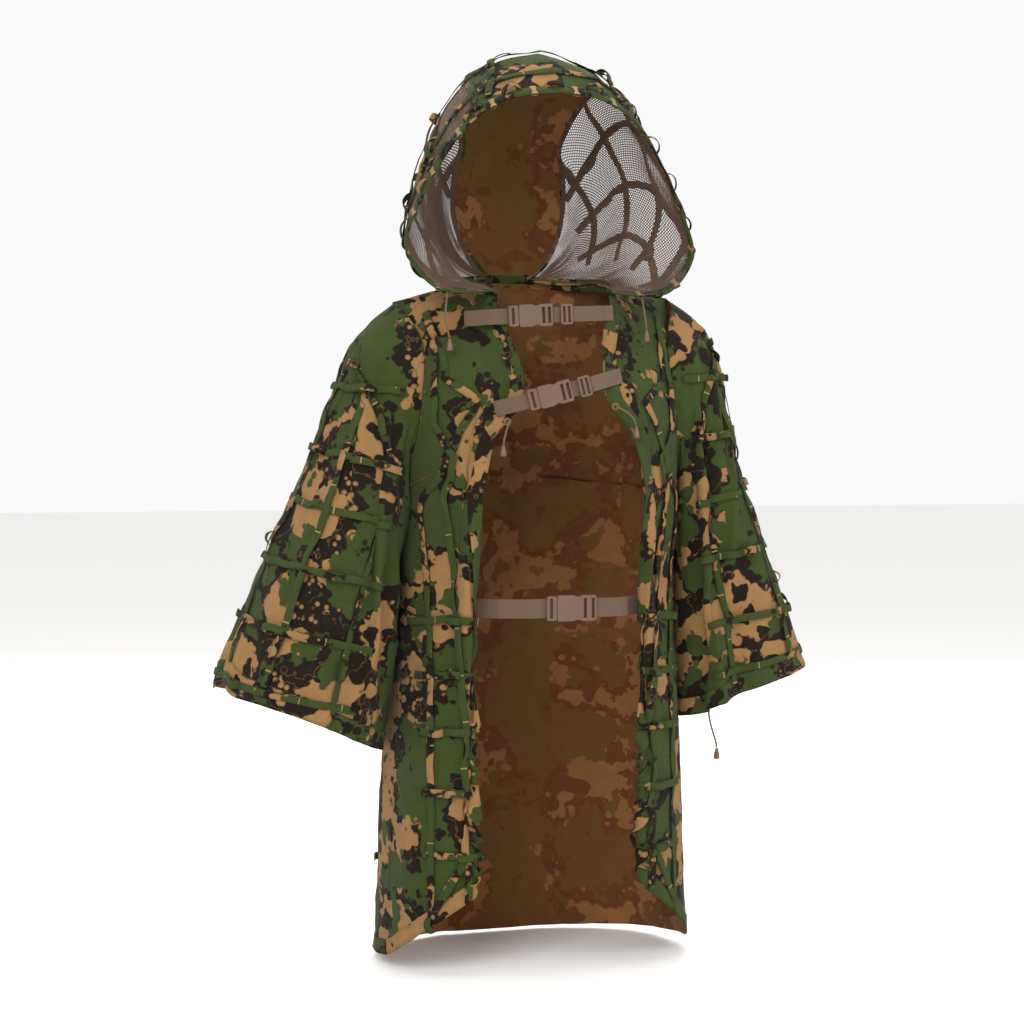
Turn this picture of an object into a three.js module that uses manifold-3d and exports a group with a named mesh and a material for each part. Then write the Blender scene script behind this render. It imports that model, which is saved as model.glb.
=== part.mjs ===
// Hooded, open-fronted ghillie jacket with sewn ribbon nets, three strap closures and cord pulls.
// Millimetres, +Z up. +X is the wearer's left, -Y is the front.
// The origin is the middle of the neck base, where the garment hangs from the shoulders.
import * as THREE from "three";
import { mergeVertices } from "three/addons/utils/BufferGeometryUtils.js";
import Module from "manifold-3d";

const wasm = await Module();
wasm.setup();

// ---- driving dimensions ----
const BODY_LENGTH = 875; // neck base to the hem at the side seams
const HEM_RISE = 117; // how far the front hem curves up to the opening
const BACK_DROP = 13; // how much lower the back hem hangs
const CHEST_HALF_WIDTH = 200;
const CHEST_FRONT = 145; // body axis to the chest
const CHEST_BACK = 125;
const SLEEVE_REACH = 1; // scale of the sleeve's spread from the armhole
const HOOD_HEIGHT = 317; // neck base to the crown
const CLOTH = 2.4; // shell thickness of cloth, hems and seams together
const ARMHOLE_GAP = 1.7; // sleeve clear of the faceted body panels
const RIBBON_WIDTH = 10;
const RIBBON_THICKNESS = 2.2;
const RIBBON_SAG = 2.4; // how far a ribbon's straight runs may dip towards the cloth
const RIBBON_GAP = 2.7; // ribbon underside above the smooth cloth surface at its corners
const STRAP_WIDTH = 20; // neck and chest webbing
const BELT_WIDTH = 25; // waist webbing
const WEBBING = 1.6; // webbing thickness
const FIT = 0.45; // clearance of webbing and prongs inside plastic fittings
const CORD_DIAMETER = 2.6;
const BELL_DIAMETER = 8.5;
const BELL_LENGTH = 15;

const SQUARENESS = 0.8; // exponent of the body's rounded-rectangle section
const SHOULDER_DROP = 110; // depth over which cloth turns down from the shoulder
const ARMHOLE_HALF = 81; // half of the armhole front to back
const UNDERARM = -270;

// Body section: height, half width, front and back depth, all from the chest sizes.
const SECTIONS = [
  [20, CHEST_HALF_WIDTH - 10, CHEST_FRONT - 47, CHEST_BACK - 24],
  [-60, CHEST_HALF_WIDTH - 5, CHEST_FRONT - 37, CHEST_BACK - 16],
  [-150, CHEST_HALF_WIDTH, CHEST_FRONT, CHEST_BACK],
  [-270, CHEST_HALF_WIDTH, CHEST_FRONT, CHEST_BACK],
  [-420, CHEST_HALF_WIDTH - 5, CHEST_FRONT - 20, CHEST_BACK - 5],
  [-650, CHEST_HALF_WIDTH + 5, CHEST_FRONT - 20, CHEST_BACK + 15],
  [-900, CHEST_HALF_WIDTH + 15, CHEST_FRONT - 15, CHEST_BACK + 30],
];
// Half width of the front opening at each height.
const OPENING = [
  [-12, 78],
  [-60, 66],
  [-146, 56],
  [-191, 93],
  [-243, 109],
  [-308, 116],
  [-543, 118],
  [-760, 115],
  [-900, 115],
];
// Half of the neck seam, from the front edge to the nape.
const NECKLINE = [
  [78, -92, -12],
  [93, -45, 0],
  [94, 10, 7],
  [74, 72, 12],
  [34, 106, 17],
  [0, 112, 18],
];
const NECK_SIDE = 0.4; // share of the neckline that lies in front of the shoulder seam
// Each arm hangs its own way: shoulder height, then the sleeve's outer and inner lines in X and Z.
const ARMS = {
  right: {
    side: -1,
    shoulder: -20,
    outer: [
      [196, -20], [262, -76], [303, -140], [332, -222], [360, -295], [392, -372], [418, -445], [446, -531],
    ],
    inner: [
      [200, -270], [207, -318], [214, -366], [222, -414], [229, -462], [236, -510], [243, -560], [248, -610],
    ],
    depth: 112,
  },
  left: {
    side: 1,
    shoulder: -8,
    outer: [
      [196, -8], [250, -44], [288, -102], [309, -176], [325, -252], [352, -340], [379, -430], [404, -516],
    ],
    inner: [
      [200, -270], [203, -314], [206, -358], [209, -402], [212, -446], [214, -490], [215, -534], [216, -578],
    ],
    depth: 100,
  },
};

// ---- curves ----
const clamp = (x, low, high) => Math.min(high, Math.max(low, x));
const mix = (a, b, t) => a + (b - a) * t;
const ease = (x) => x * x * (3 - 2 * x);

// Cubic interpolation of rows [key, value, ...] in either order of keys.
function along(rows, key) {
  const n = rows.length;
  const falling = rows[0][0] > rows[n - 1][0];
  const k = falling ? -key : key;
  const keyOf = (i) => (falling ? -rows[i][0] : rows[i][0]);
  if (k <= keyOf(0)) return rows[0].slice(1);
  if (k >= keyOf(n - 1)) return rows[n - 1].slice(1);
  let i = 0;
  while (k > keyOf(i + 1)) i++;
  const h = keyOf(i + 1) - keyOf(i);
  const t = (k - keyOf(i)) / h;
  return rows[i].slice(1).map((value, c) => {
    const at = (j) => rows[clamp(j, 0, n - 1)][c + 1];
    const slope = (j) => {
      const a = clamp(j - 1, 0, n - 1);
      const b = clamp(j + 1, 0, n - 1);
      return ((at(b) - at(a)) / (keyOf(b) - keyOf(a))) * h;
    };
    const t2 = t * t;
    const t3 = t2 * t;
    return (
      (2 * t3 - 3 * t2 + 1) * value +
      (t3 - 2 * t2 + t) * slope(i) +
      (3 * t2 - 2 * t3) * at(i + 1) +
      (t3 - t2) * slope(i + 1)
    );
  });
}

// The same, through points spaced evenly over 0 to 1.
function through(points, t) {
  return along(points.map((p, i) => [i / (points.length - 1), ...p]), clamp(t, 0, 1));
}

// ---- the garment's surfaces, each a point on the outside of the cloth ----
const openingAt = (z) => along(OPENING, z)[0];

// Angle from the front centre of a point that lies x to the side.
function angleOfX(x, z) {
  const [width] = along(SECTIONS, z);
  return Math.asin(clamp(x / width, 0, 1) ** (1 / SQUARENESS));
}

function bodySection(angle, z) {
  const [width, front, back] = along(SECTIONS, z);
  const c = Math.cos(angle);
  const depth = c > 0 ? -front : back;
  return [width * Math.sin(angle) ** SQUARENESS, depth * Math.abs(c) ** SQUARENESS];
}

// How far the armhole's edge lies in front of or behind the side, as an angle off the side.
function armholeAngle(z, shoulder, face) {
  const middle = (shoulder + UNDERARM) / 2;
  const half = (shoulder - UNDERARM) / 2;
  const rise = (z - middle) / half;
  if (Math.abs(rise) >= 1) return 0;
  const [, front, back] = along(SECTIONS, z);
  const reach = ARMHOLE_HALF * Math.sqrt(1 - rise * rise);
  return Math.asin(clamp(reach / (face > 0 ? front : back), 0, 1) ** (1 / SQUARENESS));
}

// Cloth that turns down over the shoulder from a point on the top seam.
function fromTop(top, angle, z) {
  const [x, y] = bodySection(angle, z);
  const drop = clamp((top[2] - z) / SHOULDER_DROP, 0, 1);
  const turn = Math.sqrt(1 - (1 - drop) ** 2);
  return [mix(top[0], x, turn), mix(top[1], y, turn), z];
}

// The top seam and the hem height of a front panel at u, from the front edge to the side seam.
function frontEnds(arm, u) {
  const neckShare = 0.34;
  const neckSide = through(NECKLINE, NECK_SIDE);
  const out = (u - neckShare) / (1 - neckShare);
  const top =
    u < neckShare
      ? through(NECKLINE, (u / neckShare) * NECK_SIDE)
      : [
          mix(neckSide[0], CHEST_HALF_WIDTH - 5, out),
          mix(neckSide[1], 0, out),
          mix(neckSide[2], ARMS[arm].shoulder, out),
        ];
  return { top, hem: -(BODY_LENGTH + 10) + HEM_RISE * (1 - u ** 0.8) };
}

function frontAtHeight(arm, u, z) {
  const { side, shoulder } = ARMS[arm];
  const first = angleOfX(openingAt(z), z);
  const last = Math.PI / 2 - armholeAngle(z, shoulder, 1);
  const p = fromTop(frontEnds(arm, u).top, mix(first, last, u), z);
  return [side * p[0], p[1], p[2]];
}

// u runs from the front edge to the side seam, v from the top seam to the hem.
function frontPoint(arm, u, v) {
  const { top, hem } = frontEnds(arm, u);
  return frontAtHeight(arm, u, mix(top[2], hem, v));
}

// The front cloth's point at a distance x from the middle and a height.
function frontAtX(arm, x, z) {
  let low = 0;
  let high = 1;
  for (let i = 0; i < 24; i++) {
    const u = (low + high) / 2;
    if (Math.abs(frontAtHeight(arm, u, z)[0]) < x) low = u;
    else high = u;
  }
  return frontAtHeight(arm, low, z);
}

// Where the front cloth lies at a place given by x and z: the most forward y within reach of it.
const frontCloth = (x, z, reach) =>
  Math.min(...[-1, 0, 1].map((k) => frontAtX(x < 0 ? "right" : "left", Math.abs(x), z + k * reach)[1]));

// u runs from the right side seam over the back to the left one, v from the top seam to the hem.
function backPoint(u, v) {
  const arm = u < 0.5 ? "right" : "left";
  const { side, shoulder } = ARMS[arm];
  const out = Math.abs(2 * u - 1); // 0 at the centre back, 1 at the side
  const neckShare = 0.38;
  const neckSide = through(NECKLINE, NECK_SIDE);
  const top =
    out < neckShare
      ? through(NECKLINE, 1 - (out / neckShare) * (1 - NECK_SIDE))
      : [
          mix(neckSide[0], CHEST_HALF_WIDTH - 5, (out - neckShare) / (1 - neckShare)),
          mix(neckSide[1], 0, (out - neckShare) / (1 - neckShare)),
          mix(neckSide[2], shoulder, (out - neckShare) / (1 - neckShare)),
        ];
  const hem = -(BODY_LENGTH + 10) - BACK_DROP * (1 - out * out);
  const z = mix(top[2], hem, v);
  const last = Math.PI / 2 - armholeAngle(z, shoulder, -1);
  const p = fromTop(top, Math.PI - last * out, z);
  return [side * p[0], p[1], p[2]];
}

// t runs down the arm, turn once round it: 0 on the outside, a quarter on the front.
function sleevePoint(arm, t, turn) {
  const { side, outer, inner, depth } = ARMS[arm];
  const o = through(outer, t);
  const i = through(inner, t);
  const spread = (x) => CHEST_HALF_WIDTH - 5 + (x - CHEST_HALF_WIDTH + 5) * SLEEVE_REACH;
  const a = turn * 2 * Math.PI;
  const k = (1 + Math.cos(a)) / 2;
  const half = mix(ARMHOLE_HALF, depth, ease(clamp(t * 1.6, 0, 1)));
  const z = mix(i[1], o[1], k);
  let x = mix(spread(i[0]), spread(o[0]), k);
  const y = -Math.sin(a) * half;
  // At the armhole the ring follows the body's own curve.
  const body = bodySection(Math.PI / 2 - armholeAngle(z, outer[0][1], Math.sin(a)), z)[0];
  x = mix(body + ARMHOLE_GAP + 1.3 * CLOTH * Math.max(0, Math.cos(a)), x, ease(clamp(t * 9, 0, 1)));
  return [side * x, y + 12 * t * t, z];
}

// Half of the hood's face opening, from the neck seam to the brow.
const RIM = [
  [80, -95, -7],
  [128, -99, -11],
  [168, -94, -1],
  [200, -86, 46],
  [180, -88, 108],
  [150, -95, 165],
  [112, -108, HOOD_HEIGHT - 103],
  [60, -121, HOOD_HEIGHT - 75],
  [0, -126, HOOD_HEIGHT - 67],
];
// The hood's centre line, from the brow over the crown to the nape.
const CREST = [
  [0, -126, HOOD_HEIGHT - 67],
  [0, -75, HOOD_HEIGHT - 20],
  [0, 0, HOOD_HEIGHT],
  [0, 75, HOOD_HEIGHT - 32],
  [0, 118, HOOD_HEIGHT - 112],
  [0, 127, 110],
  [0, 114, 22],
];
const HOOD_LIFT = 1; // the hood's lower edge above the neck seam
const HOOD_FRONT_LIFT = 1.7; // the same at the front of the neck
const HOOD_BULGE = 0.27; // sideways fullness as a share of a rib's chord
const NAPE_SHARE = 0.86; // share of the neck seam that the side panels take

// p runs from the neck seam up to the centre line, q from the face opening to the nape.
function hoodPoint(side, p, q) {
  const seam = through(NECKLINE, q * NAPE_SHARE);
  const lift = mix(HOOD_FRONT_LIFT, HOOD_LIFT, ease(clamp(q * 4, 0, 1)));
  const low = [mix(RIM[0][0], seam[0], ease(clamp(q * 5, 0, 1))), seam[1] - 3 * (1 - q), seam[2] + lift];
  const high = through(CREST, q);
  const chord = (c, at) => mix(low[c], high[c], at);
  const rim = through(RIM, p);
  const flare = rim.map((value, c) => value - mix(RIM[0][c], RIM[8][c], p));
  const reach = Math.hypot(high[0] - low[0], high[1] - low[1], high[2] - low[2]);
  const arch = Math.sin(Math.PI * p);
  const full = [
    HOOD_BULGE * reach * Math.abs(arch) ** 0.8,
    0.06 * reach * arch * q,
    0.2 * reach * arch * p,
  ];
  const back = ease(clamp(q / 0.5, 0, 1));
  const point = [0, 1, 2].map((c) => chord(c, p) + mix(flare[c], full[c], back));
  return [side * Math.max(point[0], 0), point[1], point[2]];
}

// Where the cloth crown meets the mesh side, as p.
const crownEdge = (q) => (q < 0.62 ? 0.76 : mix(0.76, 0.03, (q - 0.62) / 0.38));

// ---- solids ----
const vector = (p) => new THREE.Vector3(...p);

function geometryFrom(vertices, faces) {
  const geometry = new THREE.BufferGeometry();
  const places = vertices.flatMap((v) => v.toArray());
  geometry.setAttribute("position", new THREE.Float32BufferAttribute(places, 3));
  geometry.setIndex(faces.flat());
  let volume = 0;
  for (const [a, b, c] of faces) volume += vertices[a].dot(vertices[b].clone().cross(vertices[c]));
  if (volume < 0) geometry.setIndex(faces.flatMap(([a, b, c]) => [a, c, b]));
  return geometry;
}

// Normals of a grid of points, all on the side away from the points that inside(p) gives.
function gridNormals(grid, inside, ring) {
  const n = grid.length;
  const m = grid[0].length;
  const normals = grid.map((row, i) =>
    row.map((_, j) => {
      const du = grid[Math.min(i + 1, n - 1)][j].clone().sub(grid[Math.max(i - 1, 0)][j]);
      const after = ring ? row[(j + 1) % m] : row[Math.min(j + 1, m - 1)];
      const before = ring ? row[(j + m - 1) % m] : row[Math.max(j - 1, 0)];
      return du.cross(after.clone().sub(before)).normalize();
    }),
  );
  const outward = (i, j) => normals[i][j].dot(grid[i][j].clone().sub(inside(grid[i][j])));
  const total = grid.reduce((sum, row, i) => sum + row.reduce((part, _, j) => part + outward(i, j), 0), 0);
  if (total < 0) normals.flat().forEach((normal) => normal.negate());
  return normals;
}

// A closed sheet: the grid is its outside, and ring joins each row's last point to its first.
function sheet(grid, inside, thickness, ring = false) {
  const n = grid.length;
  const m = grid[0].length;
  const normals = gridNormals(grid, inside, ring);
  const vertices = [
    ...grid.flat(),
    ...grid.flatMap((row, i) => row.map((p, j) => p.clone().addScaledVector(normals[i][j], -thickness))),
  ];
  const id = (i, j, layer) => layer * n * m + i * m + (j % m);
  const faces = [];
  const quad = (a, b, c, d) => faces.push([a, b, c], [a, c, d]);
  const columns = ring ? m : m - 1;
  for (let i = 0; i < n - 1; i++)
    for (let j = 0; j < columns; j++) {
      quad(id(i, j, 0), id(i + 1, j, 0), id(i + 1, j + 1, 0), id(i, j + 1, 0));
      quad(id(i, j, 1), id(i, j + 1, 1), id(i + 1, j + 1, 1), id(i + 1, j, 1));
    }
  for (let j = 0; j < columns; j++) {
    quad(id(0, j, 0), id(0, j + 1, 0), id(0, j + 1, 1), id(0, j, 1));
    quad(id(n - 1, j + 1, 0), id(n - 1, j, 0), id(n - 1, j, 1), id(n - 1, j + 1, 1));
  }
  if (!ring)
    for (let i = 0; i < n - 1; i++) {
      quad(id(i + 1, 0, 0), id(i, 0, 0), id(i, 0, 1), id(i + 1, 0, 1));
      quad(id(i, m - 1, 0), id(i + 1, m - 1, 0), id(i + 1, m - 1, 1), id(i, m - 1, 1));
    }
  return geometryFrom(vertices, faces);
}

function gridOf(n, m, point) {
  const row = (i) => Array.from({ length: m }, (_, j) => vector(point(i / (n - 1), j / (m - 1))));
  return Array.from({ length: n }, (_, i) => row(i));
}

// A flat band along points, lying on the side that each normal points to.
function band(points, normals, width, thickness, lift = 0) {
  const vertices = [];
  const last = points.length - 1;
  points.forEach((p, i) => {
    const tangent = points[Math.min(i + 1, last)].clone().sub(points[Math.max(i - 1, 0)]).normalize();
    const across = tangent.clone().cross(normals[i]).normalize();
    const up = across.clone().cross(tangent).normalize();
    for (const [side, level] of [[-1, 0], [1, 0], [1, 1], [-1, 1]])
      vertices.push(
        p.clone().addScaledVector(across, (side * width) / 2).addScaledVector(up, lift + level * thickness),
      );
  });
  const faces = [];
  for (let i = 0; i < last; i++)
    for (let k = 0; k < 4; k++) {
      const a = 4 * i + k;
      const b = 4 * i + ((k + 1) % 4);
      faces.push([a, b, b + 4], [a, b + 4, a + 4]);
    }
  const end = 4 * last;
  faces.push([0, 3, 2], [0, 2, 1], [end, end + 1, end + 2], [end, end + 2, end + 3]);
  return geometryFrom(vertices, faces);
}

function solidOf(geometry) {
  const plain = geometry.index ? geometry.clone() : mergeVertices(geometry);
  plain.deleteAttribute("normal");
  plain.deleteAttribute("uv");
  const merged = mergeVertices(plain, 1e-4);
  return new wasm.Manifold(
    new wasm.Mesh({
      numProp: 3,
      vertProperties: merged.attributes.position.array,
      triVerts: new Uint32Array(merged.index.array),
    }),
  );
}

function geometryOf(solid) {
  const { vertProperties, triVerts } = solid.getMesh();
  const geometry = new THREE.BufferGeometry();
  geometry.setAttribute("position", new THREE.BufferAttribute(Float32Array.from(vertProperties), 3));
  geometry.setIndex(Array.from(triVerts));
  return geometry;
}

const joined = (geometries) => geometryOf(geometries.map(solidOf).reduce((a, b) => a.add(b)));

// A ribbon along surface coordinates; each route is a list of [a, b] corners in them.
// Each leg has as few segments as keep its chords within RIBBON_SAG of the surface.
function ribbon(surface, inside, route, tiny, lift) {
  const points = [];
  const normals = [];
  const at = (a, b) => vector(surface(a, b));
  for (let k = 0; k < route.length - 1; k++) {
    const on = (t) => [mix(route[k][0], route[k + 1][0], t), mix(route[k][1], route[k + 1][1], t)];
    const sag = (count) => {
      let most = 0;
      for (let i = 0; i < count; i++) {
        const chord = at(...on(i / count)).add(at(...on((i + 1) / count))).multiplyScalar(0.5);
        most = Math.max(most, chord.distanceTo(at(...on((i + 0.5) / count))));
      }
      return most;
    };
    let count = 1;
    while (count < 10 && sag(count) > RIBBON_SAG) count++;
    for (let i = k === 0 ? 0 : 1; i <= count; i++) {
      const [a, b] = on(i / count);
      const p = at(a, b);
      const da = at(a + tiny, b).sub(at(a - tiny, b));
      const db = at(a, b + tiny).sub(at(a, b - tiny));
      const normal = da.cross(db).normalize();
      if (normal.dot(p.clone().sub(inside(p, a))) < 0) normal.negate();
      points.push(p);
      normals.push(normal);
    }
  }
  return band(points, normals, RIBBON_WIDTH, RIBBON_THICKNESS, lift);
}

// A net of ribbons as one solid; tiny is a small step in the surface's coordinates.
const ribbonNet = (surface, inside, routes, tiny = 0.004, lift = RIBBON_GAP) =>
  joined(routes.map((route) => ribbon(surface, inside, route, tiny, lift)));

// ---- materials ----
const cloth = (color) => new THREE.MeshStandardMaterial({ color, roughness: 0.9, metalness: 0 });
const plastic = (color) => new THREE.MeshStandardMaterial({ color, roughness: 0.5, metalness: 0 });
const CAMO = 0x4b4a2e;
const MESH = 0x7a5c48;
const RIBBON = 0x3d5230;
const COYOTE = 0x8a6a50;

const garment = new THREE.Group();

function piece(name, geometry, material, parent = garment) {
  const mesh = new THREE.Mesh(geometry, material);
  mesh.name = name;
  parent.add(mesh);
  return mesh;
}

// ---- body panels ----
const bodyAxis = (p) => new THREE.Vector3(0, 0, p.z - (p.z > -60 ? 60 : 0));
const ringStations = [0, 0.06, 0.13, 0.22, 0.33, 0.46, 0.6, 0.78, 1];
const PANEL_TRIM = 0.004; // share of a panel kept clear of its side seam
const SHOULDER_INSET = 2; // cloth kept clear of the shoulder seam line

function panelRows(count, point) {
  // closer rows near the shoulder, where the cloth turns down
  return Array.from({ length: count }, (_, i) => {
    const v = (i / (count - 1)) ** 1.35;
    return (u) => vector(point(u, v));
  });
}

for (const arm of ["right", "left"]) {
  const rows = panelRows(14, (u, v) => frontPoint(arm, u, v));
  const columns = [0, 0.12, 0.23, 0.34, 0.47, 0.6, 0.73, 0.87, 1 - PANEL_TRIM];
  const grid = rows.map((row) => columns.map(row));
  grid[0].forEach((p) => p.setY(p.y - SHOULDER_INSET));
  piece(`front_panel_${arm}`, sheet(grid, bodyAxis, CLOTH), cloth(CAMO));
}
{
  const rows = panelRows(14, backPoint);
  const half = [PANEL_TRIM / 2, 0.07, 0.14, 0.21, 0.28, 0.35, 0.42];
  const columns = [...half, 0.5, ...half.map((u) => 1 - u).reverse()];
  const grid = rows.map((row) => columns.map(row));
  grid[0].forEach((p) => p.setY(p.y + SHOULDER_INSET));
  piece("back_panel", sheet(grid, bodyAxis, CLOTH), cloth(CAMO));
}
for (const arm of ["right", "left"]) {
  const count = 18;
  const grid = ringStations.map((t) =>
    Array.from({ length: count }, (_, j) => vector(sleevePoint(arm, t, j / count))),
  );
  const centre = (p) => {
    const row = grid.find((points) => points.includes(p));
    return row.reduce((sum, q) => sum.add(q), new THREE.Vector3()).multiplyScalar(1 / count);
  };
  piece(`sleeve_${arm}`, sheet(grid, centre, CLOTH, true), cloth(CAMO));
}

// ---- hood ----
const hood = new THREE.Group();
garment.add(hood);
const headCentre = (p) => new THREE.Vector3(0, 10, Math.min(p.z - 12, 150));
const RIM_BAND = 0.03; // share of the hood's depth that the bound edge takes
const HOOD_SEAM = 2.4; // clearance between hood panels

// That clearance as a share of a rib's length.
function seamShare(q) {
  const low = vector(hoodPoint(1, 0, q));
  return HOOD_SEAM / low.distanceTo(vector(hoodPoint(1, 1, q)));
}

for (const [arm, side] of [["right", -1], ["left", 1]]) {
  const grid = gridOf(12, 10, (i, j) => {
    const q = mix(RIM_BAND + 0.004, 0.94, i);
    return hoodPoint(side, j * (crownEdge(q) - seamShare(q)), q);
  });
  piece(`hood_mesh_${arm}`, sheet(grid, headCentre, CLOTH), cloth(MESH), hood);
}
{
  const grid = gridOf(13, 9, (i, j) => {
    const q = mix(RIM_BAND + 0.004, 1, i);
    const across = 2 * j - 1;
    return hoodPoint(Math.sign(across) || 1, 1 - Math.abs(across) * (1 - crownEdge(q) - seamShare(q)), q);
  });
  piece("hood_crown", sheet(grid, headCentre, CLOTH), cloth(CAMO), hood);
}
{
  const grid = gridOf(2, 35, (i, j) => {
    const across = 2 * j - 1;
    return hoodPoint(Math.sign(across) || 1, 1 - Math.abs(across), i * (RIM_BAND - 0.002));
  });
  piece("hood_rim", sheet(grid, headCentre, CLOTH + 1), cloth(MESH), hood);
}

// ---- ribbon nets ----
// Ribbon corners on a front panel: distance from the middle and height, as shares of the chest's
// half width and of the body's length.
const across = (x) => (x / 200) * CHEST_HALF_WIDTH;
const down = (z) => (z / 875) * BODY_LENGTH;
const FRONT_ROUTES = [
  [[168, -50], [151, -122], [118, -151], [149, -210], [186, -300], [188, -866]],
  [[160, -36], [160, -84], [162, -126], [168, -180], [149, -222], [150, -430], [150, -805]],
  ...[-436, -507, -580, -659, -740].map((z) => [[124, z], [193, z]]),
  [[150, -745], [186, -820]],
].map((route) => route.map(([x, z]) => [across(x), down(z)]));
for (const arm of ["right", "left"])
  piece(
    `front_ribbons_${arm}`,
    ribbonNet((x, z) => frontAtX(arm, x, z), bodyAxis, FRONT_ROUTES, 1),
    cloth(RIBBON),
  );

const BACK_ROUTES = [];
for (const v of [0.17, 0.33, 0.5, 0.68, 0.86]) BACK_ROUTES.push([[0.09, v], [0.5, v + 0.015], [0.91, v]]);
for (const u of [0.18, 0.34, 0.5, 0.66, 0.82]) {
  const top = u > 0.2 && u < 0.8 ? 0.05 : 0.12;
  BACK_ROUTES.push([[u, top], [u, 0.97]]);
}
piece("back_ribbons", ribbonNet(backPoint, bodyAxis, BACK_ROUTES, 0.004, RIBBON_GAP + 0.6), cloth(RIBBON));

const SLEEVE_NET = [
  [[0.14, 0.28], [0.18, 0.12], [0.2, 0.06]],
  ...[0.2, 0.35, 0.5, 0.66, 0.82, 0.95].map((t) => [[t, 0.02], [t, 0.34]]),
  ...[0.06, 0.2, 0.32].map((turn) => [[0.2, turn], [0.95, turn]]),
];
for (const arm of ["right", "left"])
  piece(
    `sleeve_ribbons_${arm}`,
    ribbonNet(
      (t, turn) => sleevePoint(arm, t, turn),
      (p, t) => vector(sleevePoint(arm, t, 0)).add(vector(sleevePoint(arm, t, 0.5))).multiplyScalar(0.5),
      SLEEVE_NET,
    ),
    cloth(RIBBON),
  );

const hoodAcross = (a, q) => hoodPoint(a < 0.5 ? -1 : 1, 1 - Math.abs(2 * a - 1), q);
const HOOD_ROUTES = [];
for (const q of [0.1, 0.26, 0.43, 0.61])
  HOOD_ROUTES.push([[0.17, q], [0.3, q + 0.04], [0.5, q], [0.7, q + 0.04], [0.83, q]]);
for (const a of [0.18, 0.28, 0.4]) {
  HOOD_ROUTES.push([[a, 0.06], [a + 0.03, 0.3], [a, 0.66]]);
  HOOD_ROUTES.push([[1 - a, 0.06], [1 - a - 0.03, 0.3], [1 - a, 0.66]]);
}
piece(
  "hood_ribbons",
  ribbonNet(hoodAcross, headCentre, HOOD_ROUTES),
  cloth(RIBBON),
  hood,
);

// ---- strap closures ----
// Local frame of a buckle: x runs along the strap from the mouth into the socket, y up it, z outward.
const PRONG_LENGTH = 20;
const PLUG_LENGTH = 14;
const WALL = 1.7; // plastic wall

function box(x0, x1, y0, y1, z0, z1) {
  const geometry = new THREE.BoxGeometry(x1 - x0, y1 - y0, z1 - z0);
  return geometry.translate((x0 + x1) / 2, (y0 + y1) / 2, (z0 + z1) / 2);
}

const cut = (geometry, ...holes) =>
  geometryOf(holes.reduce((solid, hole) => solid.subtract(solidOf(hole)), solidOf(geometry)));

// A plate with rounded corners in x and y, centred on z = 0.
function plate(x0, x1, half, depth, corner) {
  const shape = new THREE.Shape();
  shape.moveTo(x0 + corner, -half);
  shape.lineTo(x1 - corner, -half);
  shape.quadraticCurveTo(x1, -half, x1, -half + corner);
  shape.lineTo(x1, half - corner);
  shape.quadraticCurveTo(x1, half, x1 - corner, half);
  shape.lineTo(x0 + corner, half);
  shape.quadraticCurveTo(x0, half, x0, half - corner);
  shape.lineTo(x0, -half + corner);
  shape.quadraticCurveTo(x0, -half, x0 + corner, -half);
  const plain = { depth, bevelEnabled: false, curveSegments: 3 };
  return new THREE.ExtrudeGeometry(shape, plain).translate(0, 0, -depth / 2);
}

function buckleSizes(width) {
  const half = width / 2 + 4.5;
  return { width, half, depth: 9, inner: half - WALL, socket: width + 10, ladder: width * 0.6 + 4 };
}

// The socket: a flat sleeve with two side windows, and bars for the webbing behind it.
function socketGeometry({ width, half, depth, inner, socket, ladder }) {
  const end = socket + ladder;
  const mouth = box(-1, socket - 5, -inner, inner, -depth / 2 + WALL, depth / 2 - WALL);
  const windows = box(7, 19, -half - 1, half + 1, -depth / 2 + WALL + 0.6, depth / 2 - WALL - 0.6);
  const tunnel = box(socket - 3, end + 1, -width / 2 - FIT, width / 2 + FIT, -WEBBING - FIT, FIT);
  const slot = (x) => box(x, x + 4, -width / 2 - FIT, width / 2 + FIT, -0.1, depth);
  const scallop = new THREE.CylinderGeometry(9, 9, depth + 2, 20).rotateX(Math.PI / 2);
  const waist = (y) => scallop.clone().translate(socket - 6, y, 0);
  return cut(
    plate(0, end, half, depth, 3),
    mouth, windows, tunnel, slot(socket + 1.5), slot(end - 6.5), waist(half + 7), waist(-half - 7),
  );
}

// The plug: a webbing bar, a centre guide and a prong on each side, which are separate springy arms.
function plugGeometry({ width, half, depth, inner }) {
  const ring = plate(-PLUG_LENGTH, -0.6, half - 1, depth - 1.4, 3);
  const tunnel = box(-PLUG_LENGTH - 1, -3.5, -width / 2 - FIT, width / 2 + FIT, -WEBBING - FIT, FIT);
  const slot = box(-PLUG_LENGTH + 4, -PLUG_LENGTH + 8, -width / 2 - FIT, width / 2 + FIT, -0.1, depth);
  const guide = box(-0.7, PRONG_LENGTH - 3, -1.8, 1.8, -1.6, 1.6);
  return geometryOf(solidOf(cut(ring, tunnel, slot)).add(solidOf(guide)));
}

function prongGeometry({ inner }, sign) {
  const root = inner - 3.2; // the arm's middle line at its root
  const shape = new THREE.Shape();
  shape.absarc(0, root, 1.7, Math.PI / 2, Math.PI * 1.5, false);
  shape.lineTo(PRONG_LENGTH - 9, root - 1.7);
  shape.lineTo(PRONG_LENGTH - 1.5, root - 1.4);
  shape.lineTo(PRONG_LENGTH, root);
  shape.lineTo(PRONG_LENGTH - 2.5, inner - 0.5);
  shape.lineTo(PRONG_LENGTH - 10, inner - 0.5);
  shape.lineTo(PRONG_LENGTH - 12, root + 1.7);
  shape.closePath();
  const geometry = new THREE.ExtrudeGeometry(shape, { depth: 3.4, bevelEnabled: false, curveSegments: 6 });
  geometry.translate(1.6, 0, -1.7);
  return sign > 0 ? geometry : geometryOf(solidOf(geometry).mirror([0, 1, 0]));
}

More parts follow.
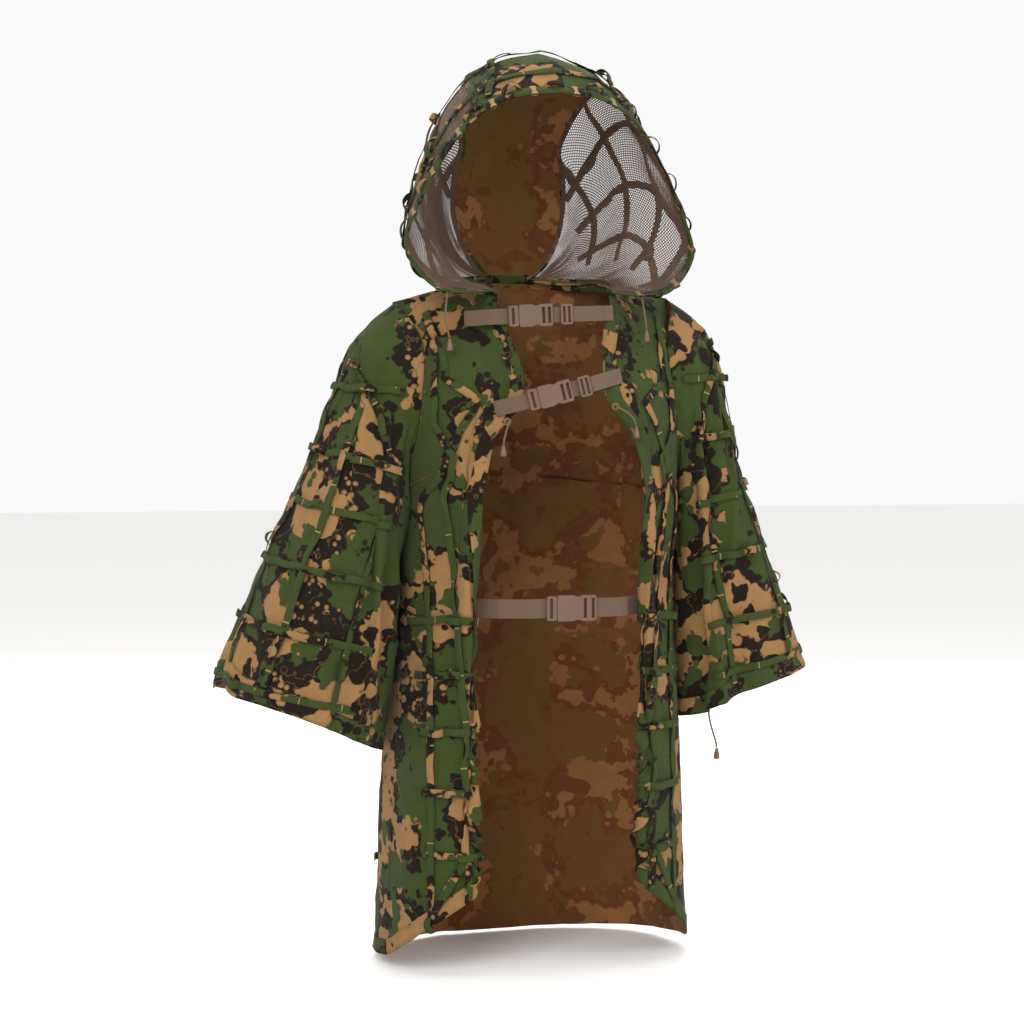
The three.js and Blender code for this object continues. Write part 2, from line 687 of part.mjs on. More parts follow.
// A tri-glide: three front bars over a tunnel for the webbing.
function triGlideGeometry({ width, half }) {
  const length = 16;
  const depth = 6.4;
  const tunnel = box(-length, length, -width / 2 - FIT, width / 2 + FIT, -WEBBING - FIT, FIT);
  const slot = (x) => box(x, x + 3.4, -width / 2 - FIT, width / 2 + FIT, -0.1, depth);
  return cut(plate(-length / 2, length / 2, half - 1.2, depth, 2.5), tunnel, slot(-5.2), slot(1.8));
}

function strapGroup(at, tilt) {
  const group = new THREE.Group();
  const x = new THREE.Vector3(Math.cos(tilt), 0, Math.sin(tilt));
  const z = new THREE.Vector3(0, -1, 0);
  group.matrixAutoUpdate = false;
  group.matrix.makeBasis(x, z.clone().cross(x), z).setPosition(...at);
  garment.add(group);
  return group;
}

// Webbing bands are laid in the buckle's local frame, so that they run through its tunnels.
function webbing(points, width, layers = 1) {
  const path = points.map(([x, y, z]) => new THREE.Vector3(x, y, z));
  return band(path, path.map(() => new THREE.Vector3(0, 0, 1)), width, WEBBING * layers);
}

const CLOSURES = {
  neck: { at: [-55, -111, -42], tilt: 0.05, tab: [-66, -41], sew: [118, 136], glide: 66 },
  chest: { at: [-42, -155, -150], tilt: 0.25, tab: [-56, -34], sew: [104, 124], glide: 65 },
};

const TAB_GAP = 0.9; // webbing above the cloth that it is sewn to

for (const [name, { at, tilt, tab, sew, glide }] of Object.entries(CLOSURES)) {
  const sizes = buckleSizes(STRAP_WIDTH);
  const group = strapGroup(at, tilt);
  const onCloth = (x, over = 0) => {
    const y = frontCloth(at[0] + x * Math.cos(tilt), at[2] + x * Math.sin(tilt), STRAP_WIDTH * 0.75);
    return [x, 0, at[1] - y + TAB_GAP + over];
  };
  piece(`${name}_socket`, socketGeometry(sizes), plastic(COYOTE), group);
  piece(`${name}_plug`, plugGeometry(sizes), plastic(COYOTE), group);
  piece(`${name}_prong_upper`, prongGeometry(sizes, 1), plastic(COYOTE), group);
  piece(`${name}_prong_lower`, prongGeometry(sizes, -1), plastic(COYOTE), group);
  piece(`${name}_tri_glide`, triGlideGeometry(sizes), plastic(COYOTE), group).position.set(glide, 0, 0);
  // A loop of webbing through the plug's bar, sewn flat beside the opening.
  const sewn = [0, 0.35, 0.7, 1].map((t) => onCloth(mix(tab[0], tab[1], t)));
  const loop = [onCloth(tab[0] + 3, 1.2), onCloth(tab[0] + 8, 2.6)];
  loop.push([tab[1] + 3, 0, -WEBBING - 1], [tab[1] + 8, 0, -WEBBING], [-5.5, 0, -WEBBING]);
  const loopBand = joined([webbing(sewn, STRAP_WIDTH, 1.2), webbing(loop, STRAP_WIDTH)]);
  piece(`${name}_webbing_right`, loopBand, cloth(COYOTE), group);
  // The other end runs through the socket's bars and the tri-glide to its own sewn tab.
  const run = [[sizes.socket - 1.5, 0, -WEBBING], [glide + 12, 0, -WEBBING]];
  run.push(onCloth(sew[0] - 6, 2.5), ...[0, 0.35, 0.7, 1].map((t) => onCloth(mix(sew[0], sew[1], t))));
  piece(`${name}_webbing_left`, webbing(run, STRAP_WIDTH), cloth(COYOTE), group);
}

// ---- waist belt, inside the front panels from side seam to side seam ----
const BELT_AT = [-9, -131, -424];
{
  const sizes = buckleSizes(BELT_WIDTH);
  const group = strapGroup(BELT_AT, 0);
  piece("waist_socket", socketGeometry(sizes), plastic(COYOTE), group);
  piece("waist_plug", plugGeometry(sizes), plastic(COYOTE), group);
  piece("waist_prong_upper", prongGeometry(sizes, 1), plastic(COYOTE), group);
  piece("waist_prong_lower", prongGeometry(sizes, -1), plastic(COYOTE), group);
  const inside = [
    [0, 189.2, 14], [0, 186.5, -10], [0, 179, -44], [0, 160, -70], [0, 132, -89], [0, 104, -101],
  ];
  const level = BELT_AT[1] + WEBBING; // the belt's inner face where it passes the buckle
  for (const [arm, side, stop] of [["right", -1, -PLUG_LENGTH + 8.5], ["left", 1, sizes.socket - 1.5]]) {
    const plain = inside.map(([, x, y]) => [side * x, y]);
    const front = side < 0 ? [[-84, -118], [-52, -127.5]] : [[92, -117], [76, -126]];
    const far = side < 0 ? -38 : sizes.socket + sizes.ladder + 6;
    const end = [[BELT_AT[0] + far, level], [BELT_AT[0] + stop, level]];
    const path = [...plain, ...front, ...end].map(([x, y]) => new THREE.Vector3(x, y, BELT_AT[2]));
    const normals = path.map((p, i) => {
      const after = path[Math.min(i + 1, path.length - 1)];
      const tangent = after.clone().sub(path[Math.max(i - 1, 0)]).normalize();
      const normal = new THREE.Vector3(0, 0, 1).cross(tangent);
      return normal.dot(new THREE.Vector3(p.x, p.y - 40, 0)) < 0 ? normal.negate() : normal;
    });
    piece(`waist_belt_${arm}`, band(path, normals, BELT_WIDTH, WEBBING), cloth(COYOTE));
  }
}

// ---- eyelets and cord pulls ----
const EYELET_RADIUS = 5.5;
const EYELET_GAP = 0.5;
const EYELETS = { right: [-80, -180], left: [68, -160] };

// A lathe profile given as [radius, height] pairs, turned about Z.
const turned = (profile, segments = 9) =>
  new THREE.LatheGeometry(profile.map(([r, h]) => new THREE.Vector2(r, h)), segments).rotateX(Math.PI / 2);

for (const [arm, at] of Object.entries(EYELETS)) {
  const ring = turned([[2.2, 0], [EYELET_RADIUS, 0], [5.2, 1.1], [3.6, 1.7], [2.2, 1.2], [2.2, 0]]);
  const mesh = piece(`eyelet_${arm}`, ring, plastic(COYOTE));
  mesh.rotation.set(Math.PI / 2, 0, 0);
  mesh.position.set(at[0], frontCloth(...at, EYELET_RADIUS) - EYELET_GAP, at[1]);
}

// Each cord hangs limp from its exit to a bell-shaped pull.
const CORDS = {
  hood_cord_right: [
    [-148, -96.8, -12.5], [-149, -99, -22], [-151, -102, -34], [-152, -104, -47], [-150, -106, -60],
    [-147, -107, -72],
  ],
  hood_cord_left: [
    [121.5, -98.5, -14.2], [122, -101, -22], [123, -104, -33], [124, -106, -45], [125, -107, -57],
  ],
  chest_cord_right: [
    [-80, -144, -180], [-80.4, -147.5, -181.4], [-82, -150, -187], [-85, -151, -196], [-88, -151, -209],
  ],
  chest_cord_left: [
    [68, -144.6, -160], [69, -148, -161], [75, -151, -164], [83, -152, -169], [90, -152, -176],
    [94, -152, -185],
  ],
  sleeve_cord_left: [
    [238.5, -51.8, -571.8], [238.5, -52, -580], [240, -54, -592], [243, -55, -604], [247, -55, -616],
    [249, -55, -626],
  ],
};

function cordGeometry(points) {
  const curve = new THREE.CatmullRomCurve3(points.map(vector), false, "centripetal");
  const shape = new THREE.Shape(
    Array.from({ length: 8 }, (_, i) => {
      const a = (i / 8) * 2 * Math.PI;
      return new THREE.Vector2((Math.cos(a) * CORD_DIAMETER) / 2, (Math.sin(a) * CORD_DIAMETER) / 2);
    }),
  );
  const steps = Math.max(6, Math.round(curve.getLength() / (2.4 * CORD_DIAMETER)));
  return new THREE.ExtrudeGeometry(shape, { steps, extrudePath: curve, bevelEnabled: false });
}

for (const [name, points] of Object.entries(CORDS)) {
  piece(name, cordGeometry(points), cloth(COYOTE));
  const r = BELL_DIAMETER / 2;
  const profile = [
    [0, 0], [r * 0.45, 0], [r * 0.5, -3], [r * 0.8, -6], [r, -12], [r * 0.9, -BELL_LENGTH],
    [0, -BELL_LENGTH],
  ];
  const bell = turned(profile.reverse());
  const mesh = piece(name.replace("cord", "bell"), bell, plastic(COYOTE));
  const [x, y, z] = points[points.length - 1];
  mesh.position.set(x, y, z - 0.3 - CORD_DIAMETER / 4);
}

export default garment;
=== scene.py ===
"""The looks of a hooded, open-fronted ghillie jacket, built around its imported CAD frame.

Metres, +Z up, -Y is the front, +X the wearer's left. Cloth shapes are worked out in millimetres from
the same dimensions as the CAD model and scaled once. The jacket hangs on an absent wearer.
"""

import math

import bpy
import numpy as np
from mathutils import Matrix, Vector, kdtree


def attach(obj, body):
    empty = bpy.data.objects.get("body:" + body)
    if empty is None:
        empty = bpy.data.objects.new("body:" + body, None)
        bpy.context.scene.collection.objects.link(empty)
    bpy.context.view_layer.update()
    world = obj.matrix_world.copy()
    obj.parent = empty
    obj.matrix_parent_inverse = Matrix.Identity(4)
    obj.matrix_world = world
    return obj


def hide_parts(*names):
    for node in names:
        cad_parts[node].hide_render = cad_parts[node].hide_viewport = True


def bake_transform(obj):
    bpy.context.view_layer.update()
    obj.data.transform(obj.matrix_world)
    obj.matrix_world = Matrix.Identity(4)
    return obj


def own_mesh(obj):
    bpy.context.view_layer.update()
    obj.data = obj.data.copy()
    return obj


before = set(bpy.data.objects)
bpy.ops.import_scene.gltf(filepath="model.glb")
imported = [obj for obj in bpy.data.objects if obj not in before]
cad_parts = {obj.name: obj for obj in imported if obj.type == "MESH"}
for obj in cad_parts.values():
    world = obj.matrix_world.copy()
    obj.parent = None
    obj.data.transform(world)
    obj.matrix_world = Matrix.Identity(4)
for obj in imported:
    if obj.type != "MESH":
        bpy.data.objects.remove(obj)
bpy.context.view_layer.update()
MM = 0.001
rng = np.random.default_rng(7)

# ---------------------------------------------------------------- camera
AZIMUTH = math.radians(-18)
DISTANCE = 3.2
CAMERA_HEIGHT = -0.204
LENS = 82.7
PITCH = math.radians(1.75)
YAW = math.radians(0.49)


def make_camera():
    data = bpy.data.cameras.new("camera")
    data.lens = LENS
    data.sensor_width = 36
    camera = bpy.data.objects.new("camera", data)
    place = Vector((math.sin(AZIMUTH) * DISTANCE, -math.cos(AZIMUTH) * DISTANCE, CAMERA_HEIGHT))
    camera.location = place
    camera.rotation_euler = (math.pi / 2 - PITCH, 0, AZIMUTH + YAW)
    bpy.context.collection.objects.link(camera)
    bpy.context.scene.camera = camera


make_camera()

# ---------------------------------------------------------------- curves


def along(rows, key):
    """Cubic interpolation of rows (key, values...), the same as the CAD source uses."""
    table = np.array(sorted(rows), float)
    keys, values = table[:, 0], table[:, 1:]
    key = np.clip(np.asarray(key, float), keys[0], keys[-1])
    low = np.maximum(np.arange(len(keys)) - 1, 0)
    high = np.minimum(np.arange(len(keys)) + 1, len(keys) - 1)
    slopes = (values[high] - values[low]) / (keys[high] - keys[low])[:, None]
    i = np.clip(np.searchsorted(keys, key, "right") - 1, 0, len(keys) - 2)
    h = keys[i + 1] - keys[i]
    t = ((key - keys[i]) / h)[..., None]
    h = h[..., None]
    return (
        (2 * t**3 - 3 * t**2 + 1) * values[i]
        + (t**3 - 2 * t**2 + t) * slopes[i] * h
        + (3 * t**2 - 2 * t**3) * values[i + 1]
        + (t**3 - t**2) * slopes[i + 1] * h
    )


def through(points, t):
    share = np.linspace(0, 1, len(points))
    return along([(s, *p) for s, p in zip(share, points)], np.clip(t, 0, 1))


def mix(a, b, t):
    return a + (b - a) * t


def ease(x):
    x = np.clip(x, 0, 1)
    return x * x * (3 - 2 * x)


# ---------------------------------------------------------------- the jacket's shape, in millimetres
BODY_LENGTH = 875
HEM_RISE = 117
BACK_DROP = 13
CHEST_HALF_WIDTH = 200
CHEST_FRONT = 145
CHEST_BACK = 125
HOOD_HEIGHT = 317
SQUARENESS = 0.8
SHOULDER_DROP = 110
ARMHOLE_HALF = 81
UNDERARM = -270
NECK_SIDE = 0.4
FRONT_NECK_SHARE = 0.34
BACK_NECK_SHARE = 0.38
SHOULDER_HALF = CHEST_HALF_WIDTH - 5

SECTIONS = [
    (20, CHEST_HALF_WIDTH - 10, CHEST_FRONT - 47, CHEST_BACK - 24),
    (-60, CHEST_HALF_WIDTH - 5, CHEST_FRONT - 37, CHEST_BACK - 16),
    (-150, CHEST_HALF_WIDTH, CHEST_FRONT, CHEST_BACK),
    (-270, CHEST_HALF_WIDTH, CHEST_FRONT, CHEST_BACK),
    (-420, CHEST_HALF_WIDTH - 5, CHEST_FRONT - 20, CHEST_BACK - 5),
    (-650, CHEST_HALF_WIDTH + 5, CHEST_FRONT - 20, CHEST_BACK + 15),
    (-900, CHEST_HALF_WIDTH + 15, CHEST_FRONT - 15, CHEST_BACK + 30),
]
OPENING = [
    (-12, 78), (-60, 66), (-146, 56), (-191, 93), (-243, 109), (-308, 116),
    (-543, 118), (-760, 115), (-900, 115),
]
NECKLINE = [(78, -92, -12), (93, -45, 0), (94, 10, 7), (74, 72, 12), (34, 106, 17), (0, 112, 18)]
ARMS = {
    "right": {
        "side": -1,
        "shoulder": -20,
        "outer": [
            (196, -20), (262, -76), (303, -140), (332, -222),
            (360, -295), (392, -372), (418, -445), (446, -531),
        ],
        "inner": [
            (200, -270), (207, -318), (214, -366), (222, -414),
            (229, -462), (236, -510), (243, -560), (248, -610),
        ],
        "depth": 112,
    },
    "left": {
        "side": 1,
        "shoulder": -8,
        "outer": [
            (196, -8), (250, -44), (288, -102), (309, -176),
            (325, -252), (352, -340), (379, -430), (404, -516),
        ],
        "inner": [
            (200, -270), (203, -314), (206, -358), (209, -402),
            (212, -446), (214, -490), (215, -534), (216, -578),
        ],
        "depth": 100,
    },
}


def body_section(angle, z):
    width, front, back = np.moveaxis(along(SECTIONS, z), -1, 0)
    c = np.cos(angle)
    depth = np.where(c > 0, -front, back)
    return width * np.sin(angle) ** SQUARENESS, depth * np.abs(c) ** SQUARENESS


def armhole_angle(z, shoulder, is_front):
    middle, half = (shoulder + UNDERARM) / 2, (shoulder - UNDERARM) / 2
    rise = np.clip((z - middle) / half, -1, 1)
    size = along(SECTIONS, z)[..., 1 if is_front else 2]
    reach = ARMHOLE_HALF * np.sqrt(1 - rise**2)
    return np.arcsin(np.clip(reach / size, 0, 1) ** (1 / SQUARENESS))


def from_top(top, angle, z):
    x, y = body_section(angle, z)
    drop = np.clip((top[..., 2] - z) / SHOULDER_DROP, 0, 1)
    turn = np.sqrt(1 - (1 - drop) ** 2)
    return np.stack([mix(top[..., 0], x, turn), mix(top[..., 1], y, turn), z], -1)


def top_seam(share, neck_share, neck_at, shoulder):
    """The top edge: round the neck first, then out along the shoulder."""
    neck = through(NECKLINE, neck_at)
    side = through(NECKLINE, NECK_SIDE)
    out = np.clip((share - neck_share) / (1 - neck_share), 0, 1)[..., None]
    seam = mix(side, np.stack([np.full_like(shoulder, SHOULDER_HALF), shoulder * 0, shoulder], -1), out)
    return np.where((share < neck_share)[..., None], neck, seam)


def front_ends(arm, u):
    u = np.asarray(u, float)
    shoulder = np.full_like(u, ARMS[arm]["shoulder"])
    top = top_seam(u, FRONT_NECK_SHARE, u / FRONT_NECK_SHARE * NECK_SIDE, shoulder)
    return top, -(BODY_LENGTH + 10) + HEM_RISE * (1 - np.clip(u, 0, 1) ** 0.8)


def front_at_height(arm, u, z):
    top, _ = front_ends(arm, u)
    width = along(SECTIONS, z)[..., 0]
    first = np.arcsin(np.clip(along(OPENING, z)[..., 0] / width, 0, 1) ** (1 / SQUARENESS))
    last = math.pi / 2 - armhole_angle(z, ARMS[arm]["shoulder"], True)
    p = from_top(top, mix(first, last, u), z)
    return p * np.array([ARMS[arm]["side"], 1, 1])


def front_point(arm, u, v):
    top, hem = front_ends(arm, u)
    return front_at_height(arm, u, mix(top[..., 2], hem, v))


def front_share(arm, x, z):
    """u and v of the front cloth at a distance x from the middle and a height z."""
    low, high = 0.0, 1.0
    for _ in range(24):
        u = (low + high) / 2
        if abs(front_at_height(arm, np.array(u), np.array(float(z)))[0]) < x:
            low = u
        else:
            high = u
    top, hem = front_ends(arm, low)
    return low, float((top[2] - z) / (top[2] - hem))


def back_point(u, v):
    out = np.abs(2 * u - 1)
    side = np.where(u < 0.5, -1, 1)
    shoulder = np.where(u < 0.5, ARMS["right"]["shoulder"], ARMS["left"]["shoulder"]).astype(float)
    top = top_seam(out, BACK_NECK_SHARE, 1 - out / BACK_NECK_SHARE * (1 - NECK_SIDE), shoulder)
    hem = -(BODY_LENGTH + 10) - BACK_DROP * (1 - out**2)
    z = mix(top[..., 2], hem, v)
    last = math.pi / 2 - armhole_angle(z, shoulder, False)
    p = from_top(top, math.pi - last * out, z)
    return p * np.stack([side, side * 0 + 1, side * 0 + 1], -1)


def sleeve_point(arm, t, turn):
    spec = ARMS[arm]
    outer, inner = through(spec["outer"], t), through(spec["inner"], t)
    a = turn * 2 * math.pi
    k = (1 + np.cos(a)) / 2
    half = mix(ARMHOLE_HALF, spec["depth"], ease(t * 1.6))
    z = mix(inner[..., 1], outer[..., 1], k)
    y = -np.sin(a) * half
    ring = np.where(
        y < 0,
        armhole_angle(z, spec["shoulder"], True),
        armhole_angle(z, spec["shoulder"], False),
    )
    body = body_section(math.pi / 2 - ring, z)[0]
    x = mix(body, mix(inner[..., 0], outer[..., 0], k), ease(t * 9))
    return np.stack([spec["side"] * x, y + 12 * t * t, z], -1)


RIM = [
    (80, -95, -7), (128, -99, -11), (168, -94, -1), (200, -86, 46), (180, -88, 108), (150, -95, 165),
    (112, -108, HOOD_HEIGHT - 103), (60, -121, HOOD_HEIGHT - 75), (0, -126, HOOD_HEIGHT - 67),
]
CREST = [
    (0, -126, HOOD_HEIGHT - 67), (0, -75, HOOD_HEIGHT - 20), (0, 0, HOOD_HEIGHT), (0, 75, HOOD_HEIGHT - 32),
    (0, 118, HOOD_HEIGHT - 112), (0, 127, 110), (0, 114, 22),
]
HOOD_BULGE = 0.27
NAPE_SHARE = 0.86


def hood_point(side, p, q):
    seam = through(NECKLINE, q * NAPE_SHARE)
    rise = ease(q * 4)
    across = mix(RIM[0][0], seam[..., 0], ease(q * 5))
    low = np.stack([across, seam[..., 1] - 3 * (1 - q), seam[..., 2] + mix(4, 3.4, rise)], -1)
    high = through(CREST, q)
    rim = through(RIM, p)
    flare = rim - mix(np.array(RIM[0], float), np.array(RIM[8], float), p[..., None])
    reach = np.linalg.norm(high - low, axis=-1)
    arch = np.sin(math.pi * p)
    full = np.stack(
        [HOOD_BULGE * reach * np.abs(arch) ** 0.8, 0.06 * reach * arch * q, 0.2 * reach * arch * p], -1
    )
    point = mix(low, high, p[..., None]) + mix(flare, full, ease(q / 0.5)[..., None])
    return np.stack([side * np.maximum(point[..., 0], 0), point[..., 1], point[..., 2]], -1)


def crown_edge(q):
    return np.where(q < 0.62, 0.76, mix(0.76, 0.03, (q - 0.62) / 0.38))


# ---------------------------------------------------------------- cloth grids
ARMHOLE_ROWS = 27
LOWER_ROWS = 50
SLEEVE_ROWS = 46
CAP_ROWS = 7


def rows_of(arm):
    """Shares down the side of a body panel: even steps round the armhole, then down the side seam."""
    shoulder, hem = ARMS[arm]["shoulder"], -(BODY_LENGTH + 10)
    ring = np.cos(np.pi * np.arange(ARMHOLE_ROWS + 1) / ARMHOLE_ROWS)
    z = (shoulder + UNDERARM) / 2 + (shoulder - UNDERARM) / 2 * ring
    v = (shoulder - z) / (shoulder - hem)
    return np.concatenate([v, np.linspace(v[-1], 1, LOWER_ROWS + 1)[1:]])


def columns_of(neck_share):
    return np.concatenate([np.linspace(0, neck_share, 9), np.linspace(neck_share, 1, 15)[1:]])


FRONT_COLUMNS = columns_of(FRONT_NECK_SHARE)
BACK_OUT = columns_of(BACK_NECK_SHARE)
BACK_COLUMNS = np.concatenate([(1 - BACK_OUT[::-1]) / 2, (1 + BACK_OUT[1:]) / 2])


def nominal_grids():
    grids = {}
    for arm in ARMS:
        u, v = np.meshgrid(FRONT_COLUMNS, rows_of(arm), indexing="ij")
        grids[f"front_{arm}"] = front_point(arm, u, v)
        t, turn = np.meshgrid(
            np.linspace(0, 1, SLEEVE_ROWS), np.arange(2 * ARMHOLE_ROWS) / (2 * ARMHOLE_ROWS), indexing="ij"
        )
        sleeve = sleeve_point(arm, t, turn)
        share = np.linspace(0, 1, CAP_ROWS + 1)[:, None, None]
        sleeve[: CAP_ROWS + 1] = mix(sleeve[0], sleeve[CAP_ROWS], share)
        grids[f"sleeve_{arm}"] = sleeve
    rows = {arm: rows_of(arm) for arm in ARMS}
    share = BACK_COLUMNS[:, None]
    v = mix(rows["right"][None], rows["left"][None], share)
    grids["back"] = back_point(np.broadcast_to(share, v.shape), v)
    return {name: grid * MM for name, grid in grids.items()}


def grid_faces(shape, closed, offset=0):
    n, m = shape
    i, j = np.meshgrid(np.arange(n - 1), np.arange(m if closed else m - 1), indexing="ij")
    nxt = (j + 1) % m
    faces = np.stack([i * m + j, (i + 1) * m + j, (i + 1) * m + nxt, i * m + nxt], -1).reshape(-1, 4)
    return faces + offset


SIM_FRAMES = 34
# how far the simulation may move a point: in all, down (so the hem stays clear of the floor) and inwards
MOST_SHIFT, MOST_DROP, BODY_INWARD, SLEEVE_INWARD = 0.03, 0.003, 0.003, 0.014


def outward_of(grids, names, weld, count):
    """A mean outward direction at each welded point: away from the body's axis or the sleeve's middle."""
    total, offset = np.zeros((count, 3)), 0
    for name in names:
        grid = grids[name]
        if name.startswith("sleeve"):
            away = grid - grid.mean(1, keepdims=True)
        else:
            away = grid * np.array([0.6, 1.0, 0])
        away = away / np.maximum(np.linalg.norm(away, axis=-1, keepdims=True), 1e-9)
        np.add.at(total, weld[offset : offset + away.shape[0] * away.shape[1]], away.reshape(-1, 3))
        offset += away.shape[0] * away.shape[1]
    return total / np.maximum(np.linalg.norm(total, axis=1, keepdims=True), 1e-9)


def drape(grids):
    """One cloth simulation of the sewn body and sleeves, pulled softly towards its cut shape."""
    names = sorted(grids)
    points = np.concatenate([grids[n].reshape(-1, 3) for n in names])
    tree = kdtree.KDTree(len(points))
    for i, p in enumerate(points):
        tree.insert(p, i)
    tree.balance()
    first = np.array([min(hit[1] for hit in tree.find_range(p, 0.0012)) for p in points])
    keep, weld = np.unique(first, return_inverse=True)
    faces, offset, pins = [], 0, np.zeros(len(points))
    for name in names:
        grid = grids[name]
        closed = name.startswith("sleeve")
        faces.append(grid_faces(grid.shape[:2], closed, offset))
        hold = np.full(grid.shape[:2], 0.05)
        if closed:
            t = np.linspace(0, 1, grid.shape[0])[:, None]
            top = (1 + np.cos(2 * np.pi * np.arange(grid.shape[1]) / grid.shape[1]))[None] / 2
            hold[:] = 0.03 + 0.7 * np.exp(-((t / 0.16) ** 2)) * top
            hold[:2] = np.maximum(hold[:2], 0.35)
        else:
            hold[:, :2] = 0.8
            neck = FRONT_NECK_SHARE if name != "back" else 0
            hold[:, 2:12] = np.maximum(hold[:, 2:12], 0.25)
            if neck:
                height = grid[..., 2]
                strap = (np.abs(height + 0.04) < 0.03) | (np.abs(height + 0.155) < 0.03)
                hold[:7][strap[:7]] = 1
                hold[0] = np.maximum(hold[0], 0.4)
        pins[offset : offset + hold.size] = hold.ravel()
        offset += hold.size
    welded = weld[np.concatenate(faces)]
    mesh = bpy.data.meshes.new("drape")
    mesh.from_pydata(points[keep].tolist(), [], welded.tolist())
    body = bpy.data.objects.new("drape", mesh)
    bpy.context.collection.objects.link(body)
    group = body.vertex_groups.new(name="hold")
    best = np.zeros(len(keep))
    np.maximum.at(best, weld, pins)
    for i, weight in enumerate(best):
        group.add([i], float(weight), "REPLACE")
    cloth = body.modifiers.new("cloth", "CLOTH")
    settings = cloth.settings
    settings.quality = 6
    settings.mass = 0.25
    settings.tension_stiffness = 12
    settings.compression_stiffness = 12
    settings.shear_stiffness = 4
    settings.bending_stiffness = 0.35
    settings.air_damping = 2
    settings.vertex_group_mass = "hold"
    settings.pin_stiffness = 1.0
    settings.shrink_min = -0.035
    cloth.collision_settings.use_collision = False
    scene = bpy.context.scene
    cloth.point_cache.frame_start = 1
    cloth.point_cache.frame_end = SIM_FRAMES
    for number in range(1, SIM_FRAMES + 1):
        scene.frame_set(number)
    evaluated = body.evaluated_get(bpy.context.evaluated_depsgraph_get())
    moved = np.empty(len(keep) * 3)
    evaluated.data.vertices.foreach_get("co", moved)
    moved = moved.reshape(-1, 3)
    scene.frame_set(1)
    bpy.data.objects.remove(body)
    bpy.data.meshes.remove(mesh)
    result, offset = {}, 0
    shift = moved - points[keep]
    outward = outward_of(grids, names, weld, len(keep))
    inner = np.full(len(keep), -BODY_INWARD)
    sleeve_points = sum(grids[n].shape[0] * grids[n].shape[1] for n in names if n.startswith("sleeve"))
    inner[weld[-sleeve_points:]] = -SLEEVE_INWARD  # the sleeves' names sort last
    depth = (shift * outward).sum(1)
    shift = shift + outward * np.maximum(0, inner - depth)[:, None]
    shift[:, 2] = np.maximum(shift[:, 2], -MOST_DROP)
    far = np.linalg.norm(shift, axis=1, keepdims=True)
    moved = points[keep] + shift * np.minimum(1, MOST_SHIFT / np.maximum(far, 1e-9))
    for name in names:
        count = grids[name].shape[0] * grids[name].shape[1]
        result[name] = moved[weld[offset : offset + count]].reshape(grids[name].shape)
        offset += count
    print("drape moved", float(far.mean()), float(far.max()))
    return result


# ---------------------------------------------------------------- surfaces to sew things onto


def finer(grid, factor, closed=False):
    """More rows along the first axis, on a smooth curve through the given ones."""
    n = len(grid)
    count = n * factor if closed else (n - 1) * factor + 1
    s = np.arange(count) / factor
    i = np.minimum(s.astype(int), n - 1 if closed else n - 2)
    t = (s - i).reshape(-1, *[1] * (grid.ndim - 1))
    a, b, c, d = (grid[(i + k) % n if closed else np.clip(i + k, 0, n - 1)] for k in (-1, 0, 1, 2))
    return b + 0.5 * t * (c - a + t * (2 * a - 5 * b + 4 * c - d + t * (3 * (b - c) + d - a)))


def unit(v):
    return v / np.maximum(np.linalg.norm(v, axis=-1, keepdims=True), 1e-12)


def wrinkles(a, b, seed, size, waves):
    """A height field of warped waves; each wave is (length, slant, height) with lengths in metres."""
    local = np.random.default_rng(seed)
    total = np.zeros_like(a)
    for length, slant, height in waves:
        phase = local.uniform(0, 6.28, 4)
        warp = 0.9 * np.sin(a / length * 1.9 + phase[0]) + 0.9 * np.sin(b / length * 1.4 + phase[1])
        crest = np.sin((a * math.cos(slant) + b * math.sin(slant)) * 6.28 / length + warp + phase[2])
        patch = 0.55 + 0.45 * np.sin(a / length * 0.9 - b / length * 1.1 + phase[3])
        total += height * patch * (crest + 0.35 * crest**2)
    return total * size


